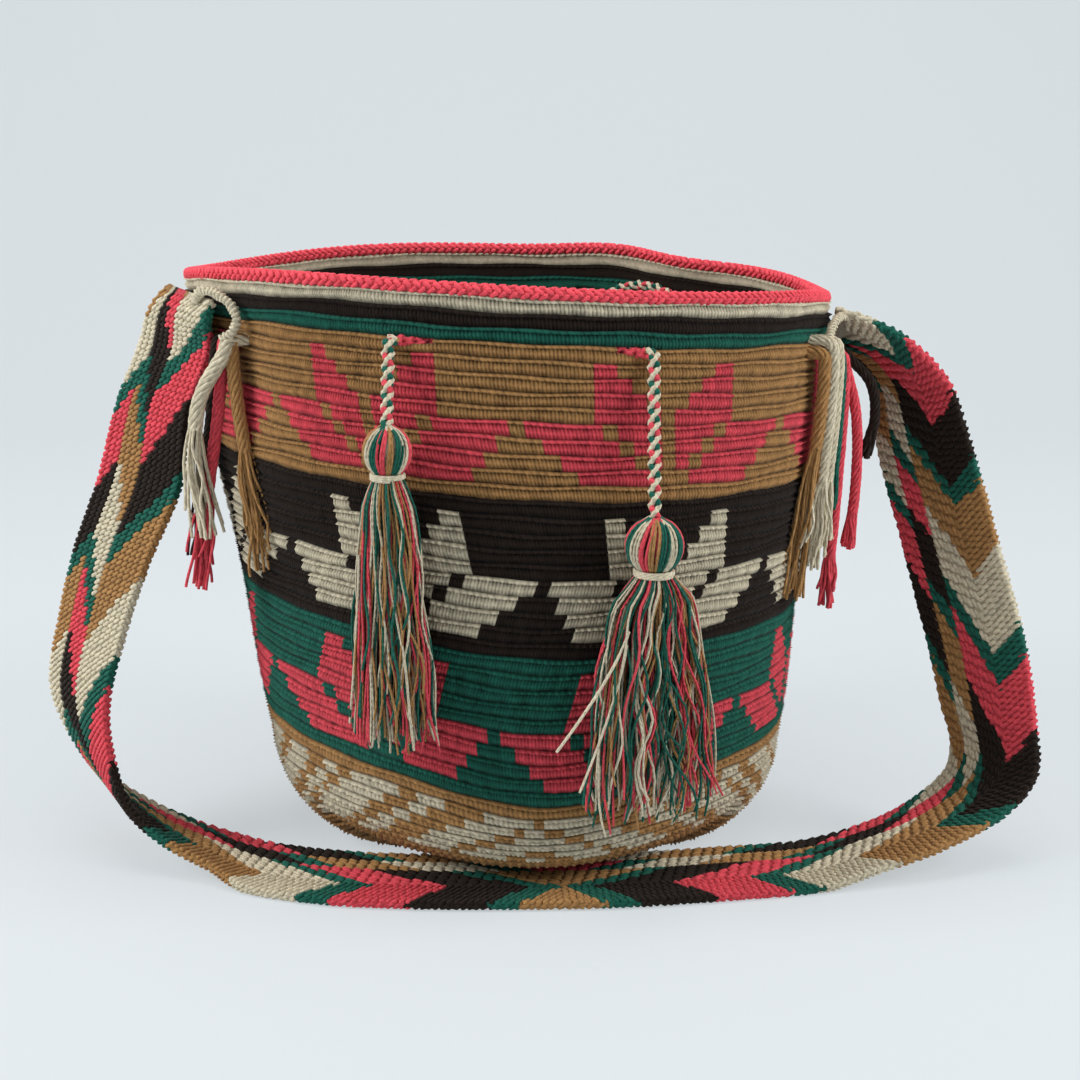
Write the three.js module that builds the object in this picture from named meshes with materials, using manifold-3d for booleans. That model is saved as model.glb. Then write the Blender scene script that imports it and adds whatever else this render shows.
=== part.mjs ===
// Crochet shoulder bag: a bucket-shaped body worked in rows, one woven shoulder strap, a drawstring
// with two yarn tassels, and the knotted yarn fringes at the strap's ends.
// Millimetres, +Z up, front towards -Y, origin on the floor under the middle of the base.
import * as THREE from 'three';
import { mergeVertices } from 'three/addons/utils/BufferGeometryUtils.js';
import Module from 'manifold-3d';

const wasm = await Module();
wasm.setup();

// Body: the worked wall
const WALL_HEIGHT = 231;
const RIM_RADIUS = 117;
const BELLY_RADIUS = 119;
const BASE_FLAT_RADIUS = 71;
const BASE_CORNER_RADIUS = 38;
const WALL_THICKNESS = 4.6;
const ROW_PITCH = 5.5;
const RIDGE_DEPTH = 1.2;
const BELLY_SHARE = 0.4;
const SHOULDER_SHARE = 0.75;
const BODY_SEGMENTS = 32;
const INSIDE_ROWS_PER_STEP = 4;

// Body: how the soft wall has settled
const OVAL_START_HEIGHT = 90;
const MOUTH_WIDEN = 0.125;
const MOUTH_NARROW = 0.11;
const LEAN = -8;
const SIDE_SAG = 7;
const SIDE_SAG_HEIGHT = 85;
const RIM_FOLD_ANGLE = 142;
const RIM_FOLD_WIDTH = 13;
const RIM_FOLD_DEPTH = 9;
// Places where the rim has sunk or risen: angle round the bag, width in degrees, depth.
const RIM_DIPS = [[-101, 46, 10.5], [92, 22, 3.6], [158, 14, -3.2]];
const RIM_DIP_REACH = 40;
const FRONT_BULGE_ANGLE = 4;
const FRONT_BULGE_WIDTH = 28;
const FRONT_BULGE_DEPTH = 9;
const FRONT_BULGE_LOW = 7;
const FRONT_BULGE_HIGH = 42;

// Edging worked round the rim
const EDGING_WIDTH = 7;
const EDGING_HEIGHT = 6;
const EDGING_SEGMENTS = 48;
const EDGING_SIDES = 6;

// Eyelets and drawstring
const CORD_DIAMETER = 4.5;
const EYELET_ROWS_DOWN = 3.3;
const EYELET_LENGTH = 19;
const EYELET_HEIGHT = 7.5;
const EYELET_CUT_WALLS = 4;
const EYELET_ARC_STEPS = 4;
const FRONT_LEFT_EYELET = -21.7;
const FRONT_RIGHT_EYELET = 26.9;
const REAR_EYELETS = [104, 130, 164, 193, 230, 256];
const CROSSING_HALF_ANGLE = 3.7;
const CORD_WALL_CLEARANCE = 0.8;
const CORD_POINT_ANGLE = 12;
const CORD_STEPS = 96;
const CORD_SIDES = 8;
const CORD_TOP_ANGLES = [0, 30, 60];

// Tassels
const LEFT_CORD_DROP = 33;
const RIGHT_CORD_DROP = 62;
const LEFT_HEAD_HEIGHT = 19;
const LEFT_HEAD_RADIUS = 8.6;
const LEFT_SKIRT_LENGTH = 98;
const LEFT_SKIRT_RADIUS = 17.5;
const RIGHT_HEAD_HEIGHT = 21;
const RIGHT_HEAD_RADIUS = 10.4;
const RIGHT_SKIRT_LENGTH = 88;
const RIGHT_SKIRT_RADIUS = 26;
const NECK_SHARE = 0.76;
const HEAD_CROWN_SHARE = 0.16;
const HEAD_STEPS = [0.72, 0.5, 0.28, 0.1];
const SKIRT_FLARE = 0.62;
const SKIRT_STEPS = 6;
const SKIRT_HEM_SHARE = 0.82;
const SKIRT_HEM_HEIGHT = 0.03;
const SKIRT_FLATTEN = 0.56;
const FLATTEN_OVER = 0.25;
const TASSEL_FLUTES = 11;
const FLUTE_DEPTH = 0.07;
const TIE_HEIGHT = 2.6;
const TIE_THICKNESS = 1.3;
const TIE_ROUNDING = 0.25;

// Shoulder strap
const STRAP_WIDTH = 47;
const STRAP_THICKNESS = 4.5;
// Where each end of the strap meets the wall: angle, rows below the rim, distance out from the wall and
// rows by which its edges differ in height; and how far its first stretch reaches out and falls.
const LEFT_STRAP_END = { angle: -65, rowsDown: 1.2, out: 2.9, slant: 0.4, reach: 5, fall: 8 };
const RIGHT_STRAP_END = { angle: 86, rowsDown: 2.3, out: 0.7, slant: 1.6, reach: 8, fall: 3 };
const STRAP_END_HALF_ANGLE = 9;
const STRAP_SPREAD = 72;
const STRAP_FLOOR_OFFSET = 21;
const STRAP_STEPS = 84;
const STRAP_WIDTH_STEPS = 2;
const TUCK_CLEARANCE = 0.8;
const TUCK_MARGIN = 4;
const TUCK_RAMP = 12;
const TUCK_FADE_HEIGHT = 46;

// Fringes
const FRINGE_ROWS_DOWN = 4.4;
const FRINGE_SIDES = 8;
const FRINGE_STEPS = 10;
const FRINGE_CLEARANCE = 0.35;
const FRINGE_STUB = 5;
const FRINGE_STUB_FALL = 1;
const FRINGE_STAND_OFF = 6.5;
// Places down the hang: share of the stand-off, share of the length, share of the sideways drift.
const FRINGE_HANG = [[0.95, 0.07, 0.02], [1, 0.3, 0.2], [1, 0.62, 0.6], [0.9, 1, 1]];

// Gap between pieces that touch
const GAP = 0.3;

// Corners nearer than this are one corner
const SHARED_WITHIN = 1e-4;

const PINK = '#d24b68';
const TAN = '#a8814f';
const CREAM = '#c8bea4';
const BROWN = '#2f2620';
const GREEN = '#1f6353';
const YARN_ROUGHNESS = 0.9;

const strapFloorY = -(BASE_FLAT_RADIUS + STRAP_FLOOR_OFFSET);
const tuckLift = STRAP_THICKNESS + TUCK_CLEARANCE;
const tuckEnd = -strapFloorY - STRAP_WIDTH / 2 - TUCK_MARGIN;
const tuckStart = tuckEnd - TUCK_RAMP;

const FORWARD = new THREE.Vector3(0, -1, 0);
const turnOf = THREE.MathUtils.degToRad;
const smooth = (value) => THREE.MathUtils.smoothstep(value, 0, 1);

// The outer outline of half the body, from the middle of the base to the rim.
const outline = new THREE.Path()
  .moveTo(0, 0)
  .lineTo(BASE_FLAT_RADIUS, 0)
  .absarc(BASE_FLAT_RADIUS, BASE_CORNER_RADIUS, BASE_CORNER_RADIUS, -Math.PI / 2, 0, false)
  .bezierCurveTo(
    BELLY_RADIUS, WALL_HEIGHT * BELLY_SHARE,
    BELLY_RADIUS + (BELLY_RADIUS - RIM_RADIUS), WALL_HEIGHT * SHOULDER_SHARE,
    RIM_RADIUS, WALL_HEIGHT,
  );
const outlineLength = outline.getLength();

// A point of the outline, measured down from the rim along the wall and out from its surface.
function outlinePoint(down, out) {
  const share = 1 - down / outlineLength;
  const point = outline.getPoint(share);
  const along = outline.getTangent(share);
  return new THREE.Vector2(point.x + along.y * out, point.y - along.x * out);
}

// How much a fold or bulge at one angle is felt at a turn: 1 at its middle, fading over its width.
function around(turn, angle, width) {
  const away = turn - turnOf(angle);
  const nearest = Math.atan2(Math.sin(away), Math.cos(away));
  return Math.exp(-((nearest / turnOf(width)) ** 2));
}

// Turns a point of the plain round body into its place on the settled, soft body.
function settle(radius, turn, height) {
  const up = smooth((height - OVAL_START_HEIGHT) / (WALL_HEIGHT - OVAL_START_HEIGHT));
  const fold = RIM_FOLD_DEPTH * up * around(turn, RIM_FOLD_ANGLE, RIM_FOLD_WIDTH);
  const low = smooth(height / FRONT_BULGE_LOW) * (1 - smooth(height / FRONT_BULGE_HIGH));
  const bulge = FRONT_BULGE_DEPTH * low * around(turn, FRONT_BULGE_ANGLE, FRONT_BULGE_WIDTH);
  const reach = radius - fold + bulge;
  const x = reach * Math.sin(turn) * (1 + MOUTH_WIDEN * up);
  const y = -reach * Math.cos(turn) * (1 - MOUTH_NARROW * up);
  const sag = SIDE_SAG * (x / BELLY_RADIUS) * smooth(height / SIDE_SAG_HEIGHT);
  const tuck = tuckLift * smooth((-y - tuckStart) / TUCK_RAMP) * (1 - smooth(height / TUCK_FADE_HEIGHT));
  const nearRim = smooth(1 + (height - WALL_HEIGHT) / RIM_DIP_REACH);
  let dip = 0;
  for (const [angle, width, depth] of RIM_DIPS) dip += depth * nearRim * around(turn, angle, width);
  return new THREE.Vector3(x + (LEAN * height) / WALL_HEIGHT, y, height - sag + tuck - dip);
}

// A point on the settled wall at an angle from the front, so many rows below the rim.
function wallPoint(angle, rowsDown, out) {
  const point = outlinePoint(rowsDown * ROW_PITCH, out);
  return settle(point.x, turnOf(angle), point.y);
}

function wallNormal(angle, rowsDown) {
  const inner = wallPoint(angle, rowsDown, -WALL_THICKNESS);
  return wallPoint(angle, rowsDown, WALL_THICKNESS).sub(inner).normalize();
}

// Shares the vertices of a closed geometry and leaves out triangles without area.
function closed(geometry) {
  geometry.deleteAttribute('normal');
  geometry.deleteAttribute('uv');
  const merged = mergeVertices(geometry, SHARED_WITHIN);
  const corners = merged.index.array;
  const kept = [];
  for (let i = 0; i < corners.length; i += 3) {
    const [a, b, c] = [corners[i], corners[i + 1], corners[i + 2]];
    if (a !== b && b !== c && c !== a) kept.push(a, b, c);
  }
  merged.setIndex(kept);
  merged.computeVertexNormals();
  return merged;
}

function solidOf(geometry) {
  const vertProperties = new Float32Array(geometry.attributes.position.array);
  const triVerts = new Uint32Array(geometry.index.array);
  return new wasm.Manifold(new wasm.Mesh({ numProp: 3, vertProperties, triVerts }));
}

function geometryOf(solid) {
  const mesh = solid.getMesh();
  const geometry = new THREE.BufferGeometry();
  geometry.setAttribute('position', new THREE.BufferAttribute(new Float32Array(mesh.vertProperties), 3));
  geometry.setIndex(new THREE.BufferAttribute(new Uint32Array(mesh.triVerts), 1));
  geometry.computeVertexNormals();
  return geometry;
}

// A turned shape with each vertex moved to its place: place(radius, turn, height) gives the point.
function turned(profile, segments, place) {
  const geometry = new THREE.LatheGeometry(profile, segments);
  const position = geometry.attributes.position;
  for (let i = 0; i < position.count; i += 1) {
    const radius = Math.hypot(position.getX(i), position.getZ(i));
    const turn = Math.atan2(position.getX(i), position.getZ(i));
    const point = place(radius, turn, position.getY(i));
    position.setXYZ(i, point.x, point.y, point.z);
  }
  return closed(geometry);
}

function yarnMesh(name, geometry, color) {
  const material = new THREE.MeshStandardMaterial({ color, roughness: YARN_ROUGHNESS, metalness: 0 });
  const mesh = new THREE.Mesh(geometry, material);
  mesh.name = name;
  return mesh;
}

// A round cord along a route of points.
function cordAlong(points, diameter, steps, sides) {
  const section = [];
  for (let i = 0; i < sides; i += 1) {
    const turn = (2 * Math.PI * i) / sides;
    section.push(new THREE.Vector2(Math.cos(turn), Math.sin(turn)).multiplyScalar(diameter / 2));
  }
  const extrudePath = new THREE.CatmullRomCurve3(points, false, 'centripetal');
  const shape = new THREE.Shape(section);
  return closed(new THREE.ExtrudeGeometry(shape, { steps, bevelEnabled: false, extrudePath }));
}

// Bag body: a crest and a groove for each row outside, smooth inside, with its eyelets cut through.
function bagBody() {
  const wallLength = outlineLength - BASE_FLAT_RADIUS;
  const rows = Math.floor(wallLength / ROW_PITCH);
  const profile = [0, tuckStart, tuckEnd, BASE_FLAT_RADIUS].map((radius) => new THREE.Vector2(radius, 0));
  for (let half = 2 * rows - 1; half > 0; half -= 1) {
    profile.push(outlinePoint((half * ROW_PITCH) / 2, half % 2 === 0 ? -RIDGE_DEPTH : 0));
  }
  profile.push(outlinePoint(0, 0));
  const insideSteps = Math.ceil(rows / INSIDE_ROWS_PER_STEP);
  for (let i = 0; i <= insideSteps; i += 1) {
    profile.push(outlinePoint((wallLength * i) / insideSteps, -WALL_THICKNESS));
  }
  profile.push(new THREE.Vector2(tuckStart, WALL_THICKNESS), new THREE.Vector2(0, WALL_THICKNESS));
  let solid = solidOf(turned(profile, BODY_SEGMENTS, settle));
  for (const angle of [FRONT_LEFT_EYELET, FRONT_RIGHT_EYELET, ...REAR_EYELETS]) {
    solid = solid.subtract(solidOf(eyelet(angle)));
  }
  return yarnMesh('bag_body', geometryOf(solid), TAN);
}

// The long hole of one eyelet, lying along the row and running out past both faces of the wall.
function eyelet(angle) {
  const half = EYELET_HEIGHT / 2;
  const straight = (EYELET_LENGTH - EYELET_HEIGHT) / 2;
  const hole = new THREE.Shape()
    .absarc(straight, 0, half, -Math.PI / 2, Math.PI / 2, false)
    .absarc(-straight, 0, half, Math.PI / 2, (3 * Math.PI) / 2, false);
  const depth = WALL_THICKNESS * EYELET_CUT_WALLS;
  const curveSegments = EYELET_ARC_STEPS;
  const geometry = new THREE.ExtrudeGeometry(hole, { depth, bevelEnabled: false, curveSegments });
  geometry.translate(0, 0, -depth / 2);
  const outwards = wallNormal(angle, EYELET_ROWS_DOWN);
  const across = new THREE.Vector3(0, 0, 1).cross(outwards).normalize();
  const upwards = new THREE.Vector3().crossVectors(outwards, across);
  const place = new THREE.Matrix4().makeBasis(across, upwards, outwards);
  place.setPosition(wallPoint(angle, EYELET_ROWS_DOWN, -WALL_THICKNESS / 2));
  geometry.applyMatrix4(place);
  return closed(geometry);
}

// Pink edging: a rounded band that sits on the rim and follows it.
function rimEdging() {
  const upwards = outline.getTangent(1);
  const profile = [];
  const corner = Math.cos(Math.PI / EDGING_SIDES);
  for (let i = 0; i <= EDGING_SIDES; i += 1) {
    const turn = (2 * Math.PI * (i + 0.5)) / EDGING_SIDES - Math.PI / 2;
    const point = outlinePoint(0, (EDGING_WIDTH / 2) * (Math.cos(turn) / corner) - WALL_THICKNESS / 2);
    profile.push(point.addScaledVector(upwards, GAP + (EDGING_HEIGHT / 2) * (1 + Math.sin(turn) / corner)));
  }
  return yarnMesh('rim_edging', turned(profile, EDGING_SEGMENTS, settle), PINK);
}

// Where the cord leaves the wall at a front eyelet, outside, on the side away from its inner run.
const insideOffset = -(WALL_THICKNESS + CORD_DIAMETER / 2 + CORD_WALL_CLEARANCE);
const outsideOffset = CORD_DIAMETER / 2 + CORD_WALL_CLEARANCE;

function swingPoint(eyeletAngle, side) {
  return wallPoint(eyeletAngle + side * CROSSING_HALF_ANGLE, EYELET_ROWS_DOWN, outsideOffset);
}

// The end of the threaded cord, just short of the rounded top of the cord that hangs from it.
function outletPoints(eyeletAngle, side) {
  const inside = wallPoint(eyeletAngle - side * CROSSING_HALF_ANGLE, EYELET_ROWS_DOWN, insideOffset);
  const pivot = swingPoint(eyeletAngle, side);
  const back = inside.clone().sub(pivot).setLength(CORD_DIAMETER / 2 + GAP);
  return { inside, end: pivot.clone().add(back) };
}

// Drawstring: in through one front eyelet, round the back, in and out of the wall, out at the other.
function drawstring() {
  const start = outletPoints(FRONT_RIGHT_EYELET, -1);
  const finish = outletPoints(FRONT_LEFT_EYELET + 360, 1);
  const stops = [FRONT_RIGHT_EYELET, ...REAR_EYELETS, FRONT_LEFT_EYELET + 360];
  const points = [start.end, start.inside];
  for (let i = 0; i + 1 < stops.length; i += 1) {
    const offset = i % 2 === 0 ? insideOffset : outsideOffset;
    const from = stops[i] + CROSSING_HALF_ANGLE;
    const to = stops[i + 1] - CROSSING_HALF_ANGLE;
    const count = Math.max(2, Math.round((to - from) / CORD_POINT_ANGLE));
    for (let k = 0; k <= count; k += 1) {
      const angle = from + ((to - from) * k) / count;
      const doubled = (i === 0 && k === 0) || (i + 2 === stops.length && k === count);
      if (!doubled) points.push(wallPoint(angle, EYELET_ROWS_DOWN, offset));
    }
  }
  points.push(finish.inside, finish.end);
  return yarnMesh('drawstring', cordAlong(points, CORD_DIAMETER, CORD_STEPS, CORD_SIDES), CREAM);
}

// One tassel on its cord: the hanging cord end, the bundle of yarn and the tie round its neck.
function tassel(name, eyeletAngle, side, size) {
  const pivot = swingPoint(eyeletAngle, side);
  const swingAngle = eyeletAngle + side * CROSSING_HALF_ANGLE;
  const outwards = wallNormal(swingAngle, EYELET_ROWS_DOWN).setZ(0).normalize();
  const across = outwards.clone().cross(new THREE.Vector3(0, 0, 1));
  const neck = size.headRadius * NECK_SHARE;
  const total = size.headHeight + size.skirtLength;
  const headTop = pivot.z - size.cordDrop;

  // The profile of the yarn bundle, from the bottom of the skirt up to the crown of the head.
  const skirt = (share) => neck + (size.skirtRadius - neck) * share ** SKIRT_FLARE;
  const profile = [new THREE.Vector2(0, -total), new THREE.Vector2(skirt(1) * SKIRT_HEM_SHARE, -total)];
  for (let i = 0; i < SKIRT_STEPS; i += 1) {
    const share = 1 - i / SKIRT_STEPS;
    const drop = size.skirtLength * Math.min(share, 1 - SKIRT_HEM_HEIGHT);
    profile.push(new THREE.Vector2(skirt(share), -size.headHeight - drop));
  }
  const tieTop = size.headHeight - TIE_HEIGHT - 2 * GAP;
  profile.push(new THREE.Vector2(neck, -size.headHeight), new THREE.Vector2(neck, -tieTop));
  for (const share of HEAD_STEPS) {
    const bulge = Math.sin(Math.PI * (HEAD_CROWN_SHARE + (1 - 2 * HEAD_CROWN_SHARE) * share));
    profile.push(new THREE.Vector2(size.headRadius * bulge, -tieTop * share));
  }
  profile.push(new THREE.Vector2(CORD_DIAMETER / 2, 0), new THREE.Vector2(0, 0));

  // Flattened where it lies along the wall: the head stays round and the skirt spreads sideways.
  const flatten = (depth) => {
    const share = smooth((depth - size.headHeight) / (size.skirtLength * FLATTEN_OVER));
    return 1 - (1 - SKIRT_FLATTEN) * share;
  };
  const halfDepth = (depth) => {
    const share = (depth - size.headHeight) / size.skirtLength;
    return share > 0 ? skirt(share) * flatten(depth) : size.headRadius;
  };

  // The bundle hangs in front of its cord, just clear of the widest part of the wall behind it.
  let standOff = 0;
  const wallRows = (WALL_HEIGHT - BASE_CORNER_RADIUS) / ROW_PITCH;
  for (let rowsDown = EYELET_ROWS_DOWN; rowsDown < wallRows; rowsDown += 1) {
    const wall = wallPoint(eyeletAngle, rowsDown, 0);
    const depth = headTop - wall.z;
    if (depth > 0 && depth < total) {
      standOff = Math.max(standOff, wall.dot(outwards) + halfDepth(depth) * (1 + FLUTE_DEPTH));
    }
  }
  standOff += CORD_WALL_CLEARANCE - pivot.dot(outwards);
  const crown = pivot.clone().addScaledVector(FORWARD, standOff / FORWARD.dot(outwards)).setZ(headTop);

  const place = (radius, turn, height) => {
    const fluted = 1 + FLUTE_DEPTH * Math.cos(TASSEL_FLUTES * turn) * smooth(-height / size.headHeight);
    const point = crown.clone().addScaledVector(across, radius * fluted * Math.sin(turn));
    point.addScaledVector(outwards, -radius * fluted * Math.cos(turn) * flatten(-height));
    return point.setZ(headTop + height);
  };
  const bundle = turned(profile, TASSEL_FLUTES * 2, place);

  // The tie is a ring in the groove under the head.
  const tieInner = neck * (1 + FLUTE_DEPTH) + GAP;
  const tieLow = -size.headHeight + GAP;
  const ring = [
    new THREE.Vector2(tieInner, tieLow),
    new THREE.Vector2(tieInner + TIE_THICKNESS, tieLow + TIE_HEIGHT * TIE_ROUNDING),
    new THREE.Vector2(tieInner + TIE_THICKNESS, tieLow + TIE_HEIGHT * (1 - TIE_ROUNDING)),
    new THREE.Vector2(tieInner, tieLow + TIE_HEIGHT),
    new THREE.Vector2(tieInner, tieLow),
  ];
  const placeTie = (radius, turn, height) => {
    const point = crown.clone().addScaledVector(across, radius * Math.sin(turn));
    return point.addScaledVector(outwards, -radius * Math.cos(turn)).setZ(headTop + height);
  };
  const tie = turned(ring, TASSEL_FLUTES * 2, placeTie);

  // The hanging cord: a round top about the swing axis, then straight to the crown of the head.
  const along = crown.clone().sub(pivot);
  const slant = Math.hypot(along.x, along.y) / Math.abs(along.z);
  const length = along.length() - GAP - (slant * CORD_DIAMETER) / 2;
  const down = along.normalize();
  const third = new THREE.Vector3().crossVectors(across, down).normalize();
  const radius = CORD_DIAMETER / 2;
  const cordProfile = [new THREE.Vector2(0, -length), new THREE.Vector2(radius, -length)];
  for (const angle of CORD_TOP_ANGLES) {
    cordProfile.push(new THREE.Vector2(radius * Math.cos(turnOf(angle)), radius * Math.sin(turnOf(angle))));
  }
  cordProfile.push(new THREE.Vector2(0, radius));
  const placeCord = (reach, turn, height) => pivot.clone()
    .addScaledVector(across, reach * Math.sin(turn))
    .addScaledVector(third, -reach * Math.cos(turn))
    .addScaledVector(down, -height);
  const cord = turned(cordProfile, CORD_SIDES, placeCord);

  const group = new THREE.Group();
  group.add(yarnMesh(`${name}_drawstring_end`, cord, CREAM));
  group.add(yarnMesh(`${name}_tassel_yarn`, bundle, PINK));
  group.add(yarnMesh(`${name}_tassel_tie`, tie, CREAM));
  return group;
}

// Shoulder strap: from the left of the rim out and down, along the floor under the front of the base,
// and up to the right. Each leg's places are shares of the spread, of the wall's height and of the way
// to the floor line, with the band's twist about the upright and the fall of its rear edge in degrees.
const LEFT_LEG = [
  [0.27, 0.885, 0.435, 47, 0],
  [0.416, 0.779, 0.402, 48, 0],
  [0.516, 0.649, 0.391, 55, 0],
  [0.692, 0.519, 0.391, 51, 0],
  [0.825, 0.39, 0.402, 46, 0],
  [0.89, 0.273, 0.49, 42, 0],
  [0.81, 0.183, 0.56, 34, 0],
  [0.67, 0.112, 0.62, 26, 0],
  [0.44, 0.063, 0.67, 20, 0],
  [0.15, 0.03, 0.74, 16, 0],
];
const RIGHT_LEG = [
  [0.34, 0.865, 0.1, 16, 20],
  [0.52, 0.803, 0.1, 31, 12],
  [0.59, 0.73, 0.12, 42, 4],
  [0.65, 0.655, 0.163, 48, 0],
  [0.74, 0.55, 0.24, 48, 0],
  [0.9, 0.357, 0.38, 48, 0],
  [0.97, 0.234, 0.46, 42, 0],
  [1.0, 0.156, 0.51, 34, 0],
  [0.91, 0.108, 0.56, 22, 0],
  [0.58, 0.06, 0.69, 6, 0],
  [0.24, 0.031, 0.78, -4, 0],
];
// The run along the floor: places across the bag as shares of its radius, and of the floor line.
const FLOOR_RUN = [
  [-0.9, 0.85],
  [-0.63, 0.96],
  [-0.32, 1.0],
  [0.07, 1.0],
  [0.33, 0.98],
  [0.66, 0.915],
  [0.96, 0.835],
];

// One end of the strap: its edge lies along the wall, then it leans out and down towards its leg.
function strapEnd({ angle, rowsDown, out, slant, reach, fall }, side, leg) {
  const end = wallPoint(angle, rowsDown, out);
  const ahead = wallPoint(angle + STRAP_END_HALF_ANGLE, rowsDown + slant, 0);
  const behind = wallPoint(angle - STRAP_END_HALF_ANGLE, rowsDown - slant, 0);
  const width = ahead.sub(behind).normalize().multiplyScalar(side);
  const outwards = new THREE.Vector3(width.y, -width.x, 0).normalize().multiplyScalar(side);
  const clear = end.clone().addScaledVector(outwards, reach);
  clear.z -= fall;
  return [{ point: end, width }, { point: clear, width: width.clone().add(leg.width).normalize() }];
}

function strapRoute() {
  const legStop = (side, [spread, height, forward, twist, drop]) => {
    const x = side * (BELLY_RADIUS + STRAP_SPREAD * spread);
    const z = WALL_HEIGHT * height;
    const level = Math.cos(turnOf(drop));
    const width = new THREE.Vector3(-Math.sin(turnOf(twist)) * level, Math.cos(turnOf(twist)) * level, 0);
    width.z = -Math.sin(turnOf(drop));
    return { point: new THREE.Vector3(x, strapFloorY * forward, z), width };
  };
  const floorStop = ([across, forward]) => ({
    point: new THREE.Vector3(across * BELLY_RADIUS, forward * strapFloorY, STRAP_THICKNESS / 2),
    width: new THREE.Vector3(0, 1, 0),
  });
  const left = LEFT_LEG.map((place) => legStop(-1, place));
  const right = RIGHT_LEG.map((place) => legStop(1, place));
  left.unshift(...strapEnd(LEFT_STRAP_END, -1, left[0]));
  right.unshift(...strapEnd(RIGHT_STRAP_END, 1, right[0]));
  return [...left, ...FLOOR_RUN.map(floorStop), ...right.reverse()];
}

function shoulderStrap() {
  const stops = strapRoute();
  const route = new THREE.CatmullRomCurve3(stops.map((stop) => stop.point), false, 'centripetal');
  const widths = new THREE.CatmullRomCurve3(stops.map((stop) => stop.width), false, 'centripetal');
  const geometry = new THREE.BoxGeometry(
    STRAP_WIDTH, 1, STRAP_THICKNESS, STRAP_WIDTH_STEPS, STRAP_STEPS, 1,
  );
  const position = geometry.attributes.position;
  for (let i = 0; i < position.count; i += 1) {
    const share = position.getY(i) + 0.5;
    const along = route.getTangent(share);
    const width = widths.getPoint(share).normalize();
    const outer = new THREE.Vector3().crossVectors(width, along).normalize();
    const point = route.getPoint(share);
    point.addScaledVector(width, position.getX(i)).addScaledVector(outer, position.getZ(i));
    position.setXYZ(i, point.x, point.y, Math.max(point.z, 0));
  }
  return yarnMesh('shoulder_strap', closed(geometry), BROWN);
}

// Fringes: yarn ends of the strap, drawn through the wall beside it and hanging down outside.
const FRINGES = [
  { name: 'left_fringe_cream', angle: -48.5, diameter: 6.5, length: 84, drift: 10, color: CREAM },
  { name: 'left_fringe_tan', angle: -45.1, diameter: 6, length: 96, drift: 7, color: TAN },
  { name: 'left_fringe_brown', angle: -54.4, diameter: 4.5, length: 92, drift: 11, color: BROWN },
  { name: 'left_fringe_pink', angle: -51.7, diameter: 5, length: 106, drift: 10, color: PINK },
  { name: 'right_fringe_tan', angle: 58, diameter: 6, length: 106, drift: -4, color: TAN },
  { name: 'right_fringe_cream_front', angle: 62.5, diameter: 5, length: 98, drift: -3, color: CREAM },
  { name: 'right_fringe_cream_rear', angle: 66.8, diameter: 5, length: 94, drift: -1, color: CREAM },
  { name: 'right_fringe_pink_front', angle: 71, diameter: 5, length: 112, drift: 0, color: PINK },
  { name: 'right_fringe_pink_rear', angle: 79, diameter: 4.5, length: 98, drift: 3, color: PINK },
  { name: 'right_fringe_green', angle: 75, diameter: 4.5, length: 62, drift: 6, color: GREEN },
  { name: 'right_fringe_brown', angle: 83, diameter: 4.5, length: 50, drift: 8, color: BROWN },
];

function fringe({ name, angle, diameter, length, drift, color }) {
  const start = wallPoint(angle, FRINGE_ROWS_DOWN, FRINGE_CLEARANCE);
  const outwards = wallNormal(angle, FRINGE_ROWS_DOWN).setZ(0).normalize();
  const route = [start];
  const stub = start.clone().addScaledVector(outwards, FRINGE_STUB + diameter / 4);
  route.push(stub.setZ(start.z - FRINGE_STUB_FALL));
  for (const [out, down, share] of FRINGE_HANG) {
    const point = start.clone().addScaledVector(outwards, FRINGE_STAND_OFF * out + diameter / 4);
    point.x += Math.sign(angle) * drift * share;
    route.push(point.setZ(start.z - down * length));
  }
  return yarnMesh(name, cordAlong(route, diameter, FRINGE_STEPS, FRINGE_SIDES), color);
}

const bag = new THREE.Group();
bag.add(bagBody());
bag.add(rimEdging());
bag.add(shoulderStrap());
bag.add(drawstring());
bag.add(tassel('left', FRONT_LEFT_EYELET, 1, {
  cordDrop: LEFT_CORD_DROP,
  headHeight: LEFT_HEAD_HEIGHT,
  headRadius: LEFT_HEAD_RADIUS,
  skirtLength: LEFT_SKIRT_LENGTH,
  skirtRadius: LEFT_SKIRT_RADIUS,
}));
bag.add(tassel('right', FRONT_RIGHT_EYELET, -1, {
  cordDrop: RIGHT_CORD_DROP,
  headHeight: RIGHT_HEAD_HEIGHT,
  headRadius: RIGHT_HEAD_RADIUS,
  skirtLength: RIGHT_SKIRT_LENGTH,
  skirtRadius: RIGHT_SKIRT_RADIUS,
}));
for (const strand of FRINGES) bag.add(fringe(strand));

export default bag;
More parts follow.
